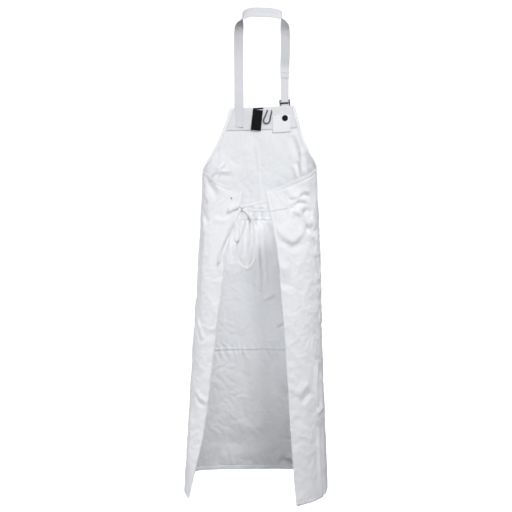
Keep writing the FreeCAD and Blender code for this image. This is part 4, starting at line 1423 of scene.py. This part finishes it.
def stitching():
    outer, inner = [], []
    for right in (False, True):
        bib = side_path(right, BIB_TOP_Z - 2, ARMHOLE_Z)
        top = side_path(right, ARMHOLE_Z, TIE_Z - 1, 2.5)
        back = side_path(right, TIE_Z, HEM_Z + 1)
        for path, depth in ((bib, BIB_HEM), (top, HEM_DEPTH), (back, HEM_DEPTH)):
            towards = BIB_CENTRE if path is bib else CENTRE
            for inset in (depth - 1.5, 1.8):
                outer += seam(path, OUTER_FACE, inset=inset, towards=towards)
                inner += seam(path, INNER_FACE, outward=-1.0, inset=inset, towards=towards)
    s = np.arange(LEFT[-1] + 2, RIGHT[-1] - 2, 5.0)
    bottom = np.stack([s, np.full(s.shape, HEM_Z)], axis=1)
    outer += seam(bottom, OUTER_FACE, inset=HEM_DEPTH - 1.5)
    inner += seam(bottom, INNER_FACE, outward=-1.0, inset=HEM_DEPTH - 1.5)
    half = PANEL_HALF_WIDTH - 2
    frame_path = line_path((-half, PANEL_TOP_Z - 2), (half, PANEL_TOP_Z - 2),
                           (half, PANEL_BOTTOM_Z + 2), (-half, PANEL_BOTTOM_Z + 2),
                           (-half, PANEL_TOP_Z - 2))
    outer += seam(frame_path, 2.7)
    inner += seam(frame_path, 0.3, outward=-1.0)
    for depth in (FACING_DEPTH - 2, 4, 10):
        row = [(s, BIB_TOP_Z + BIB_TOP_SLOPE * s - depth) for s in np.arange(-84, 95, 4.0)]
        outer += seam(row, OUTER_FACE)
        # the upper rows stop short of the hanging loop
        parts = [row] if depth > 20 else [[p for p in row if p[0] < 20],
                                          [p for p in row if p[0] > 46]]
        for part in parts:
            inner += seam(part, -0.95, outward=-1.0)
    x0, x1, top_z, low_z = PATCH
    rise = BIB_TOP_SLOPE * (x0 + x1) / 2 - 4
    high, low = top_z - 2 + rise, low_z + 2 + rise
    ring = line_path((x0 + 2, high), (x1 - 2, high), (x1 - 2, low), (x0 + 2, low), (x0 + 2, high))
    inner += seam(ring, -1.5, outward=-1.0)
    near, far, up = TAB_EDGE - 3, TAB_EDGE - TAB_WIDTH + 2, TAB_RISE * TAB_WIDTH
    corners = [(near, TAB_TOP_Z - 2), (far, TAB_TOP_Z - 2 + up), (far, TAB_BOTTOM_Z + 2 + up),
               (near, TAB_BOTTOM_Z + 2)]
    outer += seam(line_path(*corners), 2.2, pitch=2.8)
    for level in (TAB_SEAM_Z, TAB_SEAM_Z - 4):
        outer += seam(line_path((near, level), (far, level + up)), 2.2, pitch=2.8)
    stitch_mesh("stitches_outside", outer)
    stitch_mesh("stitches_inside", inner)


def strap_stitching(out, along, points):
    places = []
    at = np.arange(3.0, along[-1] - 3.0, STITCH_PITCH)
    for column in (1, -2):
        for value in at:
            k = int(np.searchsorted(along, value)) - 1
            f = (value - along[k]) / (along[k + 1] - along[k])
            point = points[k, column] * (1 - f) + points[k + 1, column] * f
            direction = points[k + 1, column] - points[k, column]
            for sign in (1, -1):
                places.append((point + out[k] * sign * (STRAP_THICK / 2 + 0.05), direction,
                               out[k] * sign))
    stitch_mesh("stitches_strap", places)


def bar_tacks():
    """Dense zigzag bars across the strap's sewn end, the join and the anchor loop."""
    rows = [(STRAP_X, inner_y(STRAP_X, -344.0, -2.6) - 1.1, -344.0, 12.0, -1),
            (STRAP_X, inner_y(STRAP_X, -324.0, -2.6) - 1.1, -324.0, 12.0, -1),
            (WEB_X, WEB_FRONT_Y - 3.0, STRAP_JOIN_Z + 4.0, 10.5, -1),
            (WEB_X, WEB_FRONT_Y - 3.0, STRAP_JOIN_Z + 19.0, 10.5, -1),
            (WEB_X, WEB_REAR_Y + 0.9, LOOP_BOTTOM_Z + 4.0, 10.5, 1),
            (WEB_X, WEB_REAR_Y + 0.9, LOOP_BOTTOM_Z + 14.0, 10.5, 1)]
    places = []
    for x, y, z, half, way in rows:
        for k in range(int(half * 2 / 0.8)):
            lean = 0.8 if k % 2 else -0.8
            places.append(((x - half + 0.8 * k, y, z), (lean, 0, 2.0), (0, way, 0)))
    stitch_mesh("tack_bars", places, 0.6, ["bar_tacks"])


cloth = main_cloth()
hems()
front_panels()
stitching()
strap_stitching(*neck_strap())
adjuster()
label_strip(label_flap())
hanging_loop()
round_print("round_mark", MARK_X, MARK_Z, MARK_RADIUS, -1.65, "patch_mark")
knots()
eyelets()
bar_tacks()
